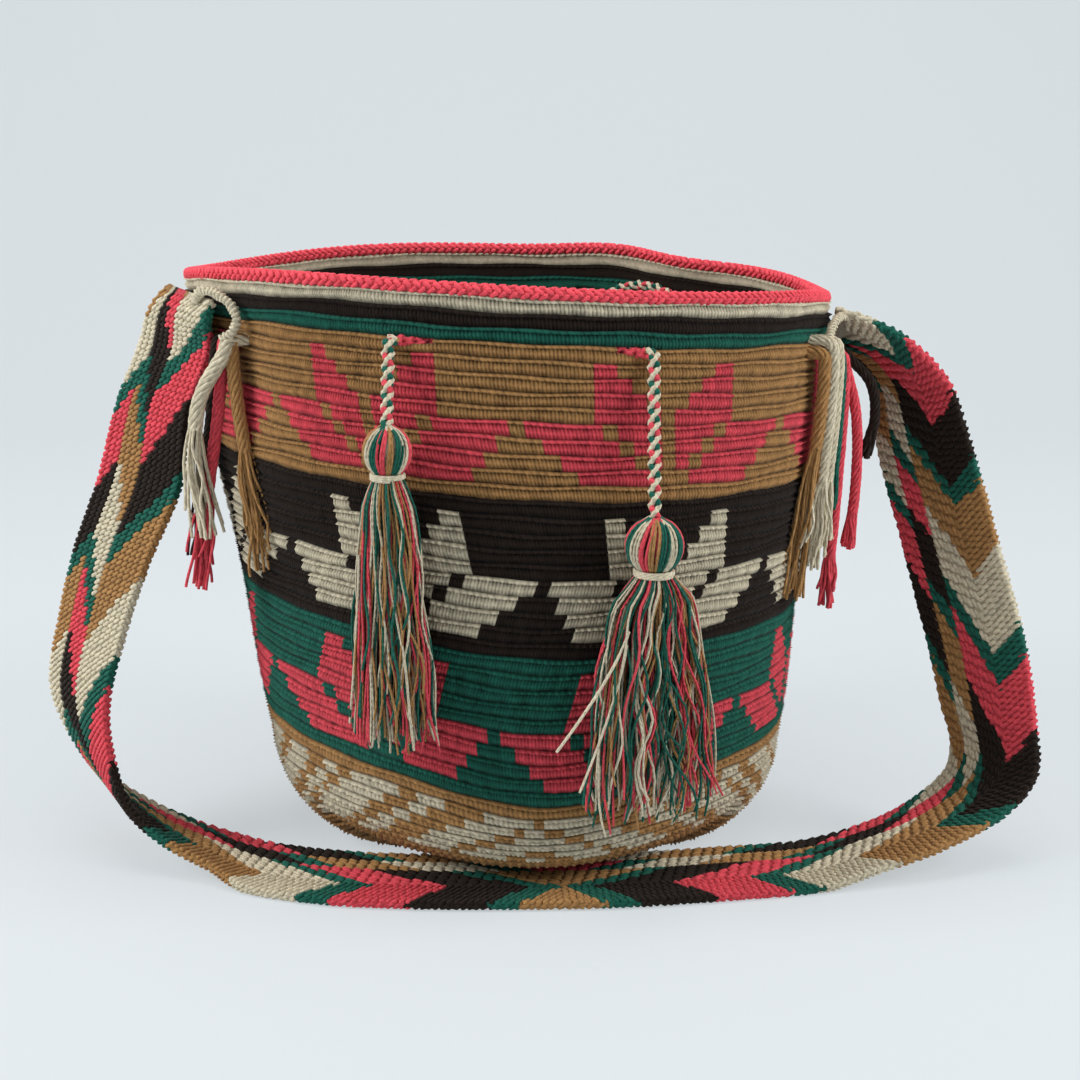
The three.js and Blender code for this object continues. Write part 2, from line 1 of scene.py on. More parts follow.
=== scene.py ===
import math
from dataclasses import dataclass
import bpy
import bmesh
import numpy as np
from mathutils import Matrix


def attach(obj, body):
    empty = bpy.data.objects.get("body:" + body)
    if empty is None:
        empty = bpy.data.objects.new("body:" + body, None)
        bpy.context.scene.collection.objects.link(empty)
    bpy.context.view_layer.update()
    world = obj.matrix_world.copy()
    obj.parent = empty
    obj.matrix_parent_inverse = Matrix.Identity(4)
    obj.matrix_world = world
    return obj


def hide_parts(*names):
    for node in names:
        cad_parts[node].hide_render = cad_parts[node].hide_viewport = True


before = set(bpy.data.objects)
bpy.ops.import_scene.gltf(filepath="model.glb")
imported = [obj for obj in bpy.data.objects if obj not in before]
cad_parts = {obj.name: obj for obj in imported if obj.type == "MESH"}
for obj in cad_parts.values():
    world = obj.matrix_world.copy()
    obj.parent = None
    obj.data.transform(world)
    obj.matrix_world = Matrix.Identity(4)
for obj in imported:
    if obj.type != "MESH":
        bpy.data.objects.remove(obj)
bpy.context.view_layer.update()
scene = bpy.context.scene

# Sizes in millimetres and degrees, as in the part's source. Meshes are made in metres.
MM = 0.001
WALL_HEIGHT = 231.0
RIM_RADIUS = 117.0
BELLY_RADIUS = 119.0
BASE_FLAT_RADIUS = 71.0
BASE_CORNER_RADIUS = 38.0
BELLY_SHARE = 0.4
SHOULDER_SHARE = 0.75
WALL_THICKNESS = 4.6
ROW_PITCH = 5.5

OVAL_START_HEIGHT = 90.0
MOUTH_WIDEN = 0.125
MOUTH_NARROW = 0.11
LEAN = -8.0
SIDE_SAG = 7.0
SIDE_SAG_HEIGHT = 85.0
# Folds and bulges of the soft wall: the angle of the middle, the width and the depth
RIM_FOLD = (142.0, 13.0, 9.0)
FRONT_BULGE = (4.0, 28.0, 9.0)
STRAP_PULL = (-54.0, 9.0, 4.0)
RIM_DIPS = ((-101.0, 46.0, 10.5), (92.0, 22.0, 3.6), (158.0, 14.0, -3.2))
# Heights between which they come and go
RIM_DIP_REACH = 40.0
FRONT_BULGE_LOW = 7.0
FRONT_BULGE_HIGH = 42.0
STRAP_PULL_LOW = 150.0
STRAP_PULL_RISE = 45.0
STRAP_PULL_TOP = WALL_HEIGHT - 4.0
STRAP_PULL_FALL = 26.0

STRAP_WIDTH = 47.0
STRAP_THICKNESS = 4.5
STRAP_SPREAD = 72.0
STRAP_FLOOR_Y = -(BASE_FLAT_RADIUS + 21.0)
# The base lies on the strap in front: how far it is lifted, over which stretch, and up to which height
TUCK_LIFT = STRAP_THICKNESS + 0.8
TUCK_RAMP = 12.0
TUCK_START = -STRAP_FLOOR_Y - STRAP_WIDTH / 2 - 4.0 - TUCK_RAMP
TUCK_FADE_HEIGHT = 46.0

CORD_DIAMETER = 4.5
EYELET_ROWS_DOWN = 3.3
FRONT_LEFT_EYELET = -21.7
FRONT_RIGHT_EYELET = 26.9
REAR_EYELETS = (104.0, 130.0, 164.0, 193.0, 230.0, 256.0)
CROSSING_HALF_ANGLE = 3.7
CORD_WALL_CLEARANCE = 0.8

# Yarns, by number
PINK, TAN, CREAM, BROWN, GREEN = range(5)
YARN_SHADES = ("#d84b56", "#a67c4c", "#cdc2a8", "#241a13", "#1b5d4d")

UP = np.array([0.0, 0.0, 1.0])
FORWARD = np.array([0.0, -1.0, 0.0])


# Measuring

def smooth(value):
    value = np.clip(value, 0.0, 1.0)
    return value * value * (3 - 2 * value)


def unit(vector):
    return vector / np.linalg.norm(vector, axis=-1, keepdims=True)


def nearest_angle(angle):
    """The same angle, between half a turn back and half a turn on."""
    return (angle + 180) % 360 - 180


def length_along(points):
    """The length of a line up to each of its points."""
    steps = np.linalg.norm(np.diff(points, axis=0), axis=1)
    return np.concatenate([[0], np.cumsum(steps)])


def at_lengths(points, length, at):
    """The points of a line at the given lengths along it."""
    return np.stack([np.interp(at, length, points[:, k]) for k in range(3)], -1)


# The settled wall

WALL_SAMPLES = 500
CORNER_SAMPLES = 120


def outline_from_rim():
    """The outer outline from the rim to the middle of the base: length so far, points and upward way."""
    t = np.linspace(1, 0, WALL_SAMPLES)[:, None]
    corner = np.array([BASE_FLAT_RADIUS + BASE_CORNER_RADIUS, BASE_CORNER_RADIUS])
    belly = np.array([BELLY_RADIUS, WALL_HEIGHT * BELLY_SHARE])
    shoulder = np.array([2 * BELLY_RADIUS - RIM_RADIUS, WALL_HEIGHT * SHOULDER_SHARE])
    rim = np.array([RIM_RADIUS, WALL_HEIGHT])
    lower = (1 - t) ** 3 * corner + 3 * (1 - t) ** 2 * t * belly
    wall = lower + 3 * (1 - t) * t ** 2 * shoulder + t ** 3 * rim
    turn = np.linspace(0, -math.pi / 2, CORNER_SAMPLES)[1:, None]
    bend = np.hstack([np.cos(turn), np.sin(turn) + 1]) * BASE_CORNER_RADIUS + [BASE_FLAT_RADIUS, 0]
    middle = np.array([[0.0, 0.0]])
    line = np.vstack([wall, bend, middle])
    length = length_along(line)
    return length, line, -unit(np.gradient(line, length, axis=0))


OUT_LENGTH, OUT_LINE, OUT_UP = outline_from_rim()


def outline_point(down, out):
    """A point of the outline, measured down from the rim along the wall and out from its surface."""
    radius, height = (np.interp(down, OUT_LENGTH, OUT_LINE[:, k]) for k in (0, 1))
    up_r, up_h = (np.interp(down, OUT_LENGTH, OUT_UP[:, k]) for k in (0, 1))
    above = np.maximum(-down, 0)
    return radius + up_h * out + up_r * above, height - up_r * out + up_h * above


def around(turn, place):
    """How much a fold at one angle is felt at a turn: its depth at the middle, fading over its width."""
    angle, width, depth = place
    away = turn - math.radians(angle)
    nearest = np.arctan2(np.sin(away), np.cos(away))
    return depth * np.exp(-((nearest / math.radians(width)) ** 2))


def settle(radius, turn, height):
    """Turns a point of the plain round body into its place on the settled, soft body."""
    up = smooth((height - OVAL_START_HEIGHT) / (WALL_HEIGHT - OVAL_START_HEIGHT))
    low = smooth(height / FRONT_BULGE_LOW) * (1 - smooth(height / FRONT_BULGE_HIGH))
    pulled = smooth((height - STRAP_PULL_LOW) / STRAP_PULL_RISE)
    pulled = pulled * smooth((STRAP_PULL_TOP - height) / STRAP_PULL_FALL)
    reach = radius - up * around(turn, RIM_FOLD) + low * around(turn, FRONT_BULGE)
    reach = reach - pulled * around(turn, STRAP_PULL)
    x = reach * np.sin(turn) * (1 + MOUTH_WIDEN * up)
    y = -reach * np.cos(turn) * (1 - MOUTH_NARROW * up)
    sag = SIDE_SAG * (x / BELLY_RADIUS) * smooth(height / SIDE_SAG_HEIGHT)
    tuck = TUCK_LIFT * smooth((-y - TUCK_START) / TUCK_RAMP) * (1 - smooth(height / TUCK_FADE_HEIGHT))
    near_rim = smooth(1 + (height - WALL_HEIGHT) / RIM_DIP_REACH)
    dip = near_rim * sum(around(turn, place) for place in RIM_DIPS)
    return np.stack([x + LEAN * height / WALL_HEIGHT, y, height - sag + tuck - dip], axis=-1)


def wall_point(angle, rows_down, out):
    """A point of the settled wall, by its angle, its rows below the rim and its distance out of the wall."""
    angle, rows_down, out = (np.asarray(value, float) for value in np.broadcast_arrays(angle, rows_down, out))
    radius, height = outline_point(rows_down * ROW_PITCH, out)
    return settle(radius, np.radians(angle), height)


def flat_outward(angle, rows_down):
    """The level direction out of the wall at a place."""
    through = wall_point(angle, rows_down, WALL_THICKNESS) - wall_point(angle, rows_down, -WALL_THICKNESS)
    return unit(through * [1, 1, 0])


# Meshes

def mesh_of(name, points, face_groups, edges=None):
    """A mesh from points in millimetres and groups of faces, each group an array of one face size."""
    mesh = bpy.data.meshes.new(name)
    mesh.vertices.add(len(points))
    mesh.vertices.foreach_set("co", (np.asarray(points, float) * MM).ravel())
    if edges is not None:
        mesh.edges.add(len(edges))
        mesh.edges.foreach_set("vertices", np.asarray(edges).ravel())
    groups = [np.asarray(group) for group in face_groups if len(group)]
    if groups:
        sizes = np.concatenate([np.full(len(group), group.shape[1]) for group in groups])
        corners = np.concatenate([group.ravel() for group in groups])
        mesh.loops.add(len(corners))
        mesh.loops.foreach_set("vertex_index", corners)
        mesh.polygons.add(len(sizes))
        mesh.polygons.foreach_set("loop_start", np.concatenate([[0], np.cumsum(sizes)[:-1]]))
    mesh.update(calc_edges=True)
    return mesh


def write(mesh, domain, **attributes):
    """Writes named values on a mesh: vectors, yes or no, or numbers."""
    for name, values in attributes.items():
        values = np.asarray(values)
        if values.ndim == 2:
            kind, field = "FLOAT_VECTOR", "vector"
        elif values.dtype == bool:
            kind, field = "BOOLEAN", "value"
        else:
            kind, field = "FLOAT", "value"
        attribute = mesh.attributes.new(name, kind, domain)
        attribute.data.foreach_set(field, values.ravel())


def turn_outward(mesh):
    """Turns the faces of a closed mesh outwards."""
    work = bmesh.new()
    work.from_mesh(mesh)
    bmesh.ops.recalc_face_normals(work, faces=work.faces)
    work.to_mesh(mesh)
    work.free()


def piece_of(mesh):
    piece = bpy.data.objects.new(mesh.name, mesh)
    scene.collection.objects.link(piece)
    return piece


def grown(piece, tree, **inputs):
    """Runs a node tree on a piece and keeps the result as its plain mesh."""
    modifier = piece.modifiers.new("grow", "NODES")
    modifier.node_group = tree
    for item in tree.interface.items_tree:
        label = item.name.lower()
        if item.in_out == "INPUT" and label in inputs:
            modifier[item.identifier] = inputs[label]
    bpy.context.view_layer.update()
    shown = bpy.context.evaluated_depsgraph_get()
    seen = piece.evaluated_get(shown)
    mesh = bpy.data.meshes.new_from_object(seen, preserve_all_data_layers=True, depsgraph=shown)
    piece.modifiers.remove(modifier)
    bare = piece.data
    piece.data = mesh
    bpy.data.meshes.remove(bare)
    mesh.name = piece.name
    return piece


def dress(piece, body, node):
    """Hangs a piece on the body that it rides on and hides the node of the part that it stands for."""
    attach(piece, body)
    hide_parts(node)


# Node trees

class Tree:
    """A node tree with short words for adding nodes and joining their sockets."""

    def __init__(self, tree):
        self.tree = tree

    def node(self, kind, *joined, inputs=None, **settings):
        """A new node with its settings, its first sockets joined in order and others by their names."""
        node = self.tree.nodes.new(kind)
        for key, value in settings.items():
            setattr(node, key, value)
        for place, value in enumerate(joined):
            if value is not None:
                self.join(value, node.inputs[place])
        self.fill(node, inputs or {})
        return node

    def fill(self, node, inputs):
        for label, value in inputs.items():
            self.join(value, node.inputs[label])

    def join(self, value, socket):
        if isinstance(value, bpy.types.NodeSocket):
            self.tree.links.new(value, socket)
        elif isinstance(value, bpy.types.Node):
            self.tree.links.new(value.outputs[0], socket)
        else:
            socket.default_value = value

    def math(self, operation, *values):
        return self.node("ShaderNodeMath", *values, operation=operation).outputs[0]


def grower(name, sizes):
    """A geometry tree with a way in, a way out and named sizes."""
    tree = bpy.data.node_groups.new(name, "GeometryNodeTree")
    tree.interface.new_socket("Geometry", in_out="OUTPUT", socket_type="NodeSocketGeometry")
    tree.interface.new_socket("Geometry", in_out="INPUT", socket_type="NodeSocketGeometry")
    for label, value in sizes.items():
        kind = "NodeSocketInt" if isinstance(value, int) else "NodeSocketFloat"
        tree.interface.new_socket(label, in_out="INPUT", socket_type=kind).default_value = value
    tree.interface.new_socket("Yarn", in_out="INPUT", socket_type="NodeSocketMaterial")
    work = Tree(tree)
    return work, work.node("NodeGroupInput").outputs


def attribute(work, name, kind="FLOAT"):
    return work.node("GeometryNodeInputNamedAttribute", name, data_type=kind).outputs[0]


def finish_tree(work, geometry, yarn):
    shown = work.node("GeometryNodeRealizeInstances", geometry)
    shaded = work.node("GeometryNodeSetShadeSmooth", shown)
    coloured = work.node("GeometryNodeSetMaterial", shaded, inputs={"Material": yarn})
    work.node("NodeGroupOutput", coloured)
    return work.tree


# A row of stitches on its way down: its chain, the dip under it and its legs, as places and heights
ROW_PROFILE = ((0.14, 1.0), (0.28, 0.4), (0.62, 0.92))
# Lines of a row, by number: its crease, its chain, the dip under the chain and its legs
CREASE, CHAIN, DIP, LEGS = range(4)
ROW_PARTS = (0.0, *(place for place, _ in ROW_PROFILE))
CHAIN_REACH = 0.06
LEGS_MIDDLE = 0.65
LEGS_REACH = 0.4


def crochet_tree():
    """Raises a wall of stitches: a beaded chain on each row, two upright legs a stitch, a crease between."""
    sizes = {"Ridge": 1.6 * MM, "Leg": 0.6 * MM, "Bead": 0.6 * MM, "Uneven": 1.2 * MM}
    work, size = grower("crochet_stitches", sizes)
    part = work.math("FRACT", attribute(work, "row"))
    stitch = attribute(work, "stitch")
    profile = work.node("ShaderNodeFloatCurve", inputs={"Value": part})
    curve = profile.mapping.curves[0]
    for place, height in ROW_PROFILE:
        curve.points.new(place, height)
    curve.points[0].location = (0.0, 0.0)
    curve.points[-1].location = (1.0, 0.0)
    for point in curve.points:
        point.handle_type = "VECTOR"
    profile.mapping.update()
    legs = work.math("COMPARE", part, LEGS_MIDDLE, LEGS_REACH)
    wave = work.math("COSINE", work.math("MULTIPLY", stitch, 4 * math.pi))
    groove = work.math("MULTIPLY_ADD", wave, 0.5, 0.5)
    chain = work.math("COMPARE", part, ROW_PARTS[CHAIN], CHAIN_REACH)
    bead = work.math("SINE", work.math("MULTIPLY", stitch, 2 * math.pi))
    sunk = work.math("MULTIPLY", work.math("SUBTRACT", profile, 1.0), size["Ridge"])
    between = work.math("MULTIPLY", work.math("MULTIPLY", groove, legs), size["Leg"])
    beaded = work.math("MULTIPLY", work.math("MULTIPLY", bead, chain), size["Bead"])
    worked = work.node("ShaderNodeTexNoise", inputs={"Scale": 300.0, "Detail": 1.0})
    uneven = work.math("MULTIPLY", work.math("SUBTRACT", worked, 0.5), size["Uneven"])
    height = work.math("ADD", work.math("SUBTRACT", sunk, between), work.math("ADD", beaded, uneven))
    # How deep each point lies below the row's ridge, kept for the painted shade in the creases
    hollow = work.math("DIVIDE", height, work.math("MULTIPLY", size["Ridge"], -1.0))
    marked = work.node("GeometryNodeStoreNamedAttribute", size["Geometry"], None, "hollow", hollow)
    outward = attribute(work, "outward", "FLOAT_VECTOR")
    away = work.node("ShaderNodeVectorMath", outward, operation="SCALE", inputs={"Scale": height})
    raised = work.node("GeometryNodeSetPosition", marked, inputs={"Offset": away})
    return finish_tree(work, raised, size["Yarn"])


def strand_tree():
    """Gives a body to lines of yarn: round strands with their own thickness, closed at both ends."""
    work, size = grower("yarn_strands", {"Sides": 6})
    ring = work.node("GeometryNodeCurvePrimitiveCircle", size["Sides"], inputs={"Radius": 1.0})
    turn = work.math("DIVIDE", work.node("GeometryNodeInputIndex"), size["Sides"])
    turn = work.math("MULTIPLY", turn, 4 * math.pi)
    for label, wave in (("ply_across", "SINE"), ("ply_out", "COSINE")):
        ring = work.node("GeometryNodeStoreNamedAttribute", ring, None, label, work.math(wave, turn))
    lines = work.node("GeometryNodeMeshToCurve", size["Geometry"])
    body = work.node("GeometryNodeCurveToMesh", lines, ring, attribute(work, "thick"), True)
    return finish_tree(work, body, size["Yarn"])


def float_tree():
    """Lays short floats of yarn on a weave, each along its own line and standing out from the cloth."""
    sizes = {"Length": 5.2 * MM, "Width": 2.1 * MM, "Height": 1.9 * MM}
    work, size = grower("woven_floats", sizes)
    grain = work.node("GeometryNodeMeshUVSphere", 6, 3, 0.5)
    scale = work.node("ShaderNodeCombineXYZ", size["Height"], size["Width"], size["Length"])
    grain = work.node("GeometryNodeTransform", grain, inputs={"Scale": scale})
    lie, outward = (attribute(work, label, "FLOAT_VECTOR") for label in ("lie", "outward"))
    turn = work.node("FunctionNodeAxesToRotation", lie, outward, primary_axis="Z", secondary_axis="X")
    placed = {"Instance": grain, "Rotation": turn}
    laid = work.node("GeometryNodeInstanceOnPoints", size["Geometry"], inputs=placed)
    return finish_tree(work, laid, size["Yarn"])


CROCHET = crochet_tree()
STRANDS = strand_tree()
FLOATS = float_tree()


# Materials

YARN_FINISH = {"Roughness": 0.92, "Specular IOR Level": 0.12, "Sheen Weight": 0.05, "Sheen Roughness": 0.6}
PAPER_FINISH = {"Roughness": 0.9, "Specular IOR Level": 0.1}
# How light yarn is at its darkest mottle, and at the painted shade between its plies, and how much lighter it
# gets
MOTTLE_DARKEST, MOTTLE_GAIN = 0.55, 0.9
PLY_SHADE_DARKEST, PLY_SHADE_GAIN = 0.78, 0.3
SHADE_STEP = 0.07
# How sharply the painted shade gathers in the deepest hollows
HOLLOW_SHADE_POWER = 1.3
RELIEF_DEPTH = 0.4 * MM


def linear(shade):
    """The linear colour of a shade written in hex digits."""
    parts = [int(shade[k:k + 2], 16) / 255 for k in (1, 3, 5)]
    return [p / 12.92 if p <= 0.04045 else ((p + 0.055) / 1.055) ** 2.4 for p in parts] + [1.0]


def start_material(name, finish):
    material = bpy.data.materials.new(name)
    material.use_nodes = True
    work = Tree(material.node_tree)
    shader = material.node_tree.nodes["Principled BSDF"]
    work.fill(shader, finish)
    return material, work, shader


def yarn_colours(work, yarn):
    """A ramp that gives each yarn's number its shade."""
    count = len(YARN_SHADES)
    ramp = work.node("ShaderNodeValToRGB", work.math("DIVIDE", work.math("ADD", yarn, 0.5), count))
    ramp.color_ramp.interpolation = "CONSTANT"
    stops = ramp.color_ramp.elements
    while len(stops) < count:
        stops.new(0.5)
    for k, shade in enumerate(YARN_SHADES):
        stops[k].position = k / count
        stops[k].color = linear(shade)
    return ramp.outputs[0]


def yarn_material(name, hollow=0.0, twist=0.0, fuzz=0.35):
    """Cotton yarn in the colour of each stitch or strand, with painted shade in its hollows, plies with
    painted shade between them, and lint.
    """
    material, work, shader = start_material(name, YARN_FINISH)

    def read(label):
        return work.node("ShaderNodeAttribute", attribute_name=label).outputs["Fac"]

    place = work.node("ShaderNodeTexCoord").outputs["Object"]
    lint = {"Vector": place, "Scale": 800.0, "Detail": 3.0}
    mottle = work.node("ShaderNodeTexNoise", inputs=lint).outputs[0]
    light = work.math("MULTIPLY_ADD", mottle, MOTTLE_GAIN, MOTTLE_DARKEST)
    light = work.math("ADD", light, work.math("MULTIPLY", read("shade"), SHADE_STEP))
    relief = mottle
    # Painted shade in the creases between rows and beside the legs
    if hollow:
        sunk = work.math("POWER", work.math("MAXIMUM", read("hollow"), 0.0), HOLLOW_SHADE_POWER)
        light = work.math("MULTIPLY", light, work.math("SUBTRACT", 1.0, work.math("MULTIPLY", sunk, hollow)))
    # Painted shade between the plies of a twisted yarn; the same plies also raise the bump
    if twist:
        turn = work.math("MULTIPLY", read("along"), 2 * math.pi / twist)
        first = work.math("MULTIPLY", work.math("SINE", turn), read("ply_out"))
        second = work.math("MULTIPLY", work.math("COSINE", turn), read("ply_across"))
        ply = work.math("MULTIPLY_ADD", work.math("ADD", first, second), 0.5, 0.5)
        light = work.math("MULTIPLY", light, work.math("MULTIPLY_ADD", ply, PLY_SHADE_GAIN, PLY_SHADE_DARKEST))
        relief = work.math("ADD", work.math("MULTIPLY", relief, 0.5), ply)
    tinted = work.node("ShaderNodeMix", data_type="RGBA", blend_type="MULTIPLY")
    factor, colour, tint = (tinted.inputs[k] for k in (0, 6, 7))
    work.join(1.0, factor)
    work.join(yarn_colours(work, read("yarn")), colour)
    work.join(light, tint)
    bumps = {"Strength": fuzz, "Distance": RELIEF_DEPTH, "Height": relief}
    bump = work.node("ShaderNodeBump", inputs=bumps)
    work.fill(shader, {"Base Color": tinted.outputs[2], "Normal": bump})
    return material


CROCHET_YARN = yarn_material("crocheted_cotton", hollow=0.75)
STRAP_YARN = yarn_material("woven_cotton", fuzz=0.5)
PLY_YARN = yarn_material("plied_cotton", twist=2.6 * MM, fuzz=0.6)
ROPE_YARN = yarn_material("roped_cotton", twist=5.0 * MM, fuzz=0.6)


# Crocheted body: rows and stitches

STITCHES = 280
BASE_STITCHES = 180
REPEAT = 40
BORDER_ROWS = (CREAM, BROWN, GREEN)
# First row of each band, with its ground and its flowers
FLOWER_ROW, BROWN_ROW, GREEN_ROW, BASE_ROW, LAST_ROW = 3, 13, 23, 33, 46
BANDS = ((FLOWER_ROW, TAN, PINK), (BROWN_ROW, BROWN, CREAM), (GREEN_ROW, GREEN, PINK))
BAND_ROWS = BROWN_ROW - FLOWER_ROW
# Where the gaps and the middles of the two front flowers of each band lie, in degrees
FLOWER_PLACES = (
    (-42.5, -23.9, 1.1, 26.8, 53.0),
    (-44.3, -19.7, 5.5, 28.6, 53.4),
    (-60.0, -27.2, -5.1, 21.5, 48.0),
)
# Flower rows from the top: runs of stitches from the middle outwards, in steps of two stitches
FLOWER_ROWS = (
    ((3.5, 5),),
    ((2.5, 5),),
    ((1.5, 5),),
    ((0.5, 5),),
    ((0.5, 3.5), (4.5, 9.5)),
    ((0.5, 2.5), (3.5, 8.5)),
    ((0.5, 1.5), (2.5, 7.5)),
    ((1.5, 6.5),),
)
# Base rows: slanting runs of cream out from the front, in steps of an angle, shifted one step a row
BASE_PATTERN_ROWS = 6
BASE_STEP_ANGLE = 3.6
BASE_AXIS = 2.5
BASE_RUNS = ((0.4, 3.0), (5.2, 6.6), (7.9, 11.4), (12.3, 13.5), (14.9, 17.5))
BASE_REPEAT = 18
# The front has stretched down: by how many rows, how fast towards the base, and over which angle
FRONT_STRETCH = 2.1
FRONT_STRETCH_POWER = 2.4
FRONT_STRETCH_ANGLE = 24.0
# Rows wander: by what part of a row, waves round the bag and turn from row to row
ROW_SWAYS = ((0.06, 7, 1.3), (0.05, 19, 2.1))


def stitch_angle(stitch, row):
    """The angle of a stitch. Each band's flowers have settled a little differently round the bag."""
    knots = [-REPEAT, -REPEAT / 2, 0, REPEAT / 2, REPEAT, STITCHES - REPEAT]
    top, brown, green = (np.interp(stitch, knots, [*places, places[0] + 360]) for places in FLOWER_PLACES)
    share = np.clip((row - FLOWER_ROW - BAND_ROWS / 2) / BAND_ROWS, 0, 2)
    return top + (brown - top) * np.minimum(share, 1) + (green - brown) * np.clip(share - 1, 0, 1)


def base_angle(stitch, row):
    """The angle of a stitch of the base, where the stitches lie evenly in every row."""
    return stitch * 360 / BASE_STITCHES + 0 * row


def row_down(angle, row):
    """How far down the wall a row lies, in rows: the front has stretched most, towards its base."""
    away = nearest_angle(angle - FRONT_BULGE[0])
    stretch = np.where(row < BASE_ROW, (np.maximum(row, 0) / BASE_ROW) ** FRONT_STRETCH_POWER,
                       1 - smooth((row - BASE_ROW) / (LAST_ROW - BASE_ROW)))
    return row + FRONT_STRETCH * stretch * np.exp(-((away / FRONT_STRETCH_ANGLE) ** 2))


def in_runs(place, runs):
    drawn = np.zeros(len(place), bool)
    for start, end in runs:
        drawn |= (place >= start) & (place < end)
    return drawn


def stitch_yarn(stitch, row, angle):
    """Which yarn each stitch is worked in."""
    if row < len(BORDER_ROWS):
        return np.full(len(stitch), BORDER_ROWS[row])
    if row >= BASE_ROW:
        level = row - BASE_ROW - 1
        steps = np.abs(nearest_angle(angle - BASE_AXIS)) / BASE_STEP_ANGLE
        runs = BASE_RUNS if 0 <= level < BASE_PATTERN_ROWS else ()
        return np.where(in_runs((steps - level) % BASE_REPEAT, runs), CREAM, TAN)
    first, ground, flower = [band for band in BANDS if row >= band[0]][-1]
    level = row - first - 1
    steps = np.abs((np.floor(stitch) % REPEAT) + 0.5 - REPEAT / 2) / 2
    runs = FLOWER_ROWS[level] if 0 <= level < len(FLOWER_ROWS) else ()
    return np.where(in_runs(steps, runs), flower, ground)


COLUMNS_PER_STITCH = 4
INNER_ROW_STEP = 0.5
LEG_PLACE = 0.25
# Each front slit opens beside its hanging cord, towards the middle of the front
SLIT_ASIDE = 6.6
EYELET_ROW = 3
FRONT_EYELET_STITCHES = 5
REAR_EYELET_STITCHES = 3
# The cord pushes the rows beside an eyelet up and down: by what part of a row, fading over how many rows, and
# by how many stitches past the eyelet's ends
FRONT_EYELET_RAISED, REAR_EYELET_RAISED, RAISED_FADE = 0.1, -0.04, 0.7
EYELET_LOWERED, LOWERED_FADE = 0.06, 0.9
EYELET_EASE = 0.6
SAME_ROW = 0.01


def eyelet_windows(angles, wide):
    """First and last stitch of each eyelet, along the row under the border."""
    stitches = np.arange(-REPEAT, STITCHES - REPEAT)
    places = stitch_angle(stitches, EYELET_ROWS_DOWN)
    windows = []
    for angle in angles:
        middle = int(np.argmin(np.abs(nearest_angle(places - angle))))
        windows.append((middle - wide // 2, middle + wide // 2 + 1))
    return windows


def eyelet_opening(stitch, row, eyelets):
    """How far the cord pushes rows down beside the eyelets, in rows, with less than nothing for up."""
    top, bottom = EYELET_ROW, EYELET_ROW + ROW_PARTS[DIP]
    above = np.exp(-np.maximum(top - row, 0) / RAISED_FADE) * (row <= top + SAME_ROW)
    below = np.exp(-np.maximum(row - bottom, 0) / LOWERED_FADE) * (row > bottom - SAME_ROW)
    opened = np.zeros_like(row)
    for begin, end in eyelets:
        middle, half = (begin + end) / 2 - REPEAT, (end - begin) / 2 + EYELET_EASE
        wide = np.clip(1 - ((stitch - middle) / half) ** 2, 0, 1)
        raised = FRONT_EYELET_RAISED if end - begin >= FRONT_EYELET_STITCHES else REAR_EYELET_RAISED
        opened += EYELET_LOWERED * wide * below - raised * wide * above
    return opened


def band_sheet(rows, across, angle_of, eyelets, out):
    """One face of a band's wall: its points and outward directions, with the stitch and row of each."""
    stitch = across[None, :] + 0 * rows[:, None]
    row = rows[:, None] + 0 * across[None, :]
    angle = angle_of(stitch, row)
    turn = np.radians(angle)
    sway = sum(depth * np.sin(turn * waves + row * drift) for depth, waves, drift in ROW_SWAYS)
    down = row_down(angle, row) + sway * (row > 0) + eyelet_opening(stitch, row, eyelets)
    points = wall_point(angle, down, out)
    outward = unit(wall_point(angle, down, out + 1.0) - points)
    return points.reshape(-1, 3), outward.reshape(-1, 3), stitch.ravel(), row.ravel()


def band_faces(out_at, in_at, stitches, eyelets, closed_below):
    """Faces of a band's shell: both walls, open at the eyelets, the band's edges and the eyelets' sides."""
    columns, columns_in = out_at.shape[1], in_at.shape[1]
    inner_columns = columns_in // stitches
    keep_out = np.ones((len(out_at) - 1, columns), bool)
    keep_in = np.ones((len(in_at) - 1, columns_in), bool)

    def edge_face(line, k):
        """One stitch of an open edge: across the outside and back along the inside."""
        outs = [out_at[line, (k * COLUMNS_PER_STITCH + j) % columns] for j in range(COLUMNS_PER_STITCH + 1)]
        back = range(inner_columns, -1, -1)
        return outs + [in_at[line, (k * inner_columns + j) % columns_in] for j in back]

    open_edges = (0,) if closed_below else (0, -1)
    edges = [edge_face(line, k) for line in open_edges for k in range(stitches)]
    ends = []
    top = EYELET_ROW * len(ROW_PARTS)
    bottom = top + DIP
    for begin, end in eyelets:
        keep_out[top:bottom, begin * COLUMNS_PER_STITCH:end * COLUMNS_PER_STITCH] = False
        keep_in[top:bottom, begin * inner_columns:end * inner_columns] = False
        edges += [edge_face(line, k) for line in (top, bottom) for k in range(begin, end)]
        for k in (begin, end):
            outs = out_at[top:bottom + 1, k * COLUMNS_PER_STITCH]
            ends.append([*outs, *in_at[top:bottom + 1, k * inner_columns][::-1]])
    around_out, around_in = np.roll(out_at, -1, 1), np.roll(in_at, -1, 1)
    quads = np.stack([out_at[:-1], out_at[1:], around_out[1:], around_out[:-1]], -1)[keep_out]
    quads_in = np.stack([in_at[:-1], around_in[:-1], around_in[1:], in_at[1:]], -1)[keep_in]
    return [quads, quads_in, edges, ends], keep_out, keep_in


def band_yarns(rows, stitch, angle_of):
    """The yarn of each face of a wall, row by row."""
    middle = np.floor(stitch) + 0.5
    whole = np.floor(rows[:-1] + SAME_ROW).astype(int)
    return np.array([stitch_yarn(middle, row, angle_of(middle, row + 0.5)) for row in whole])


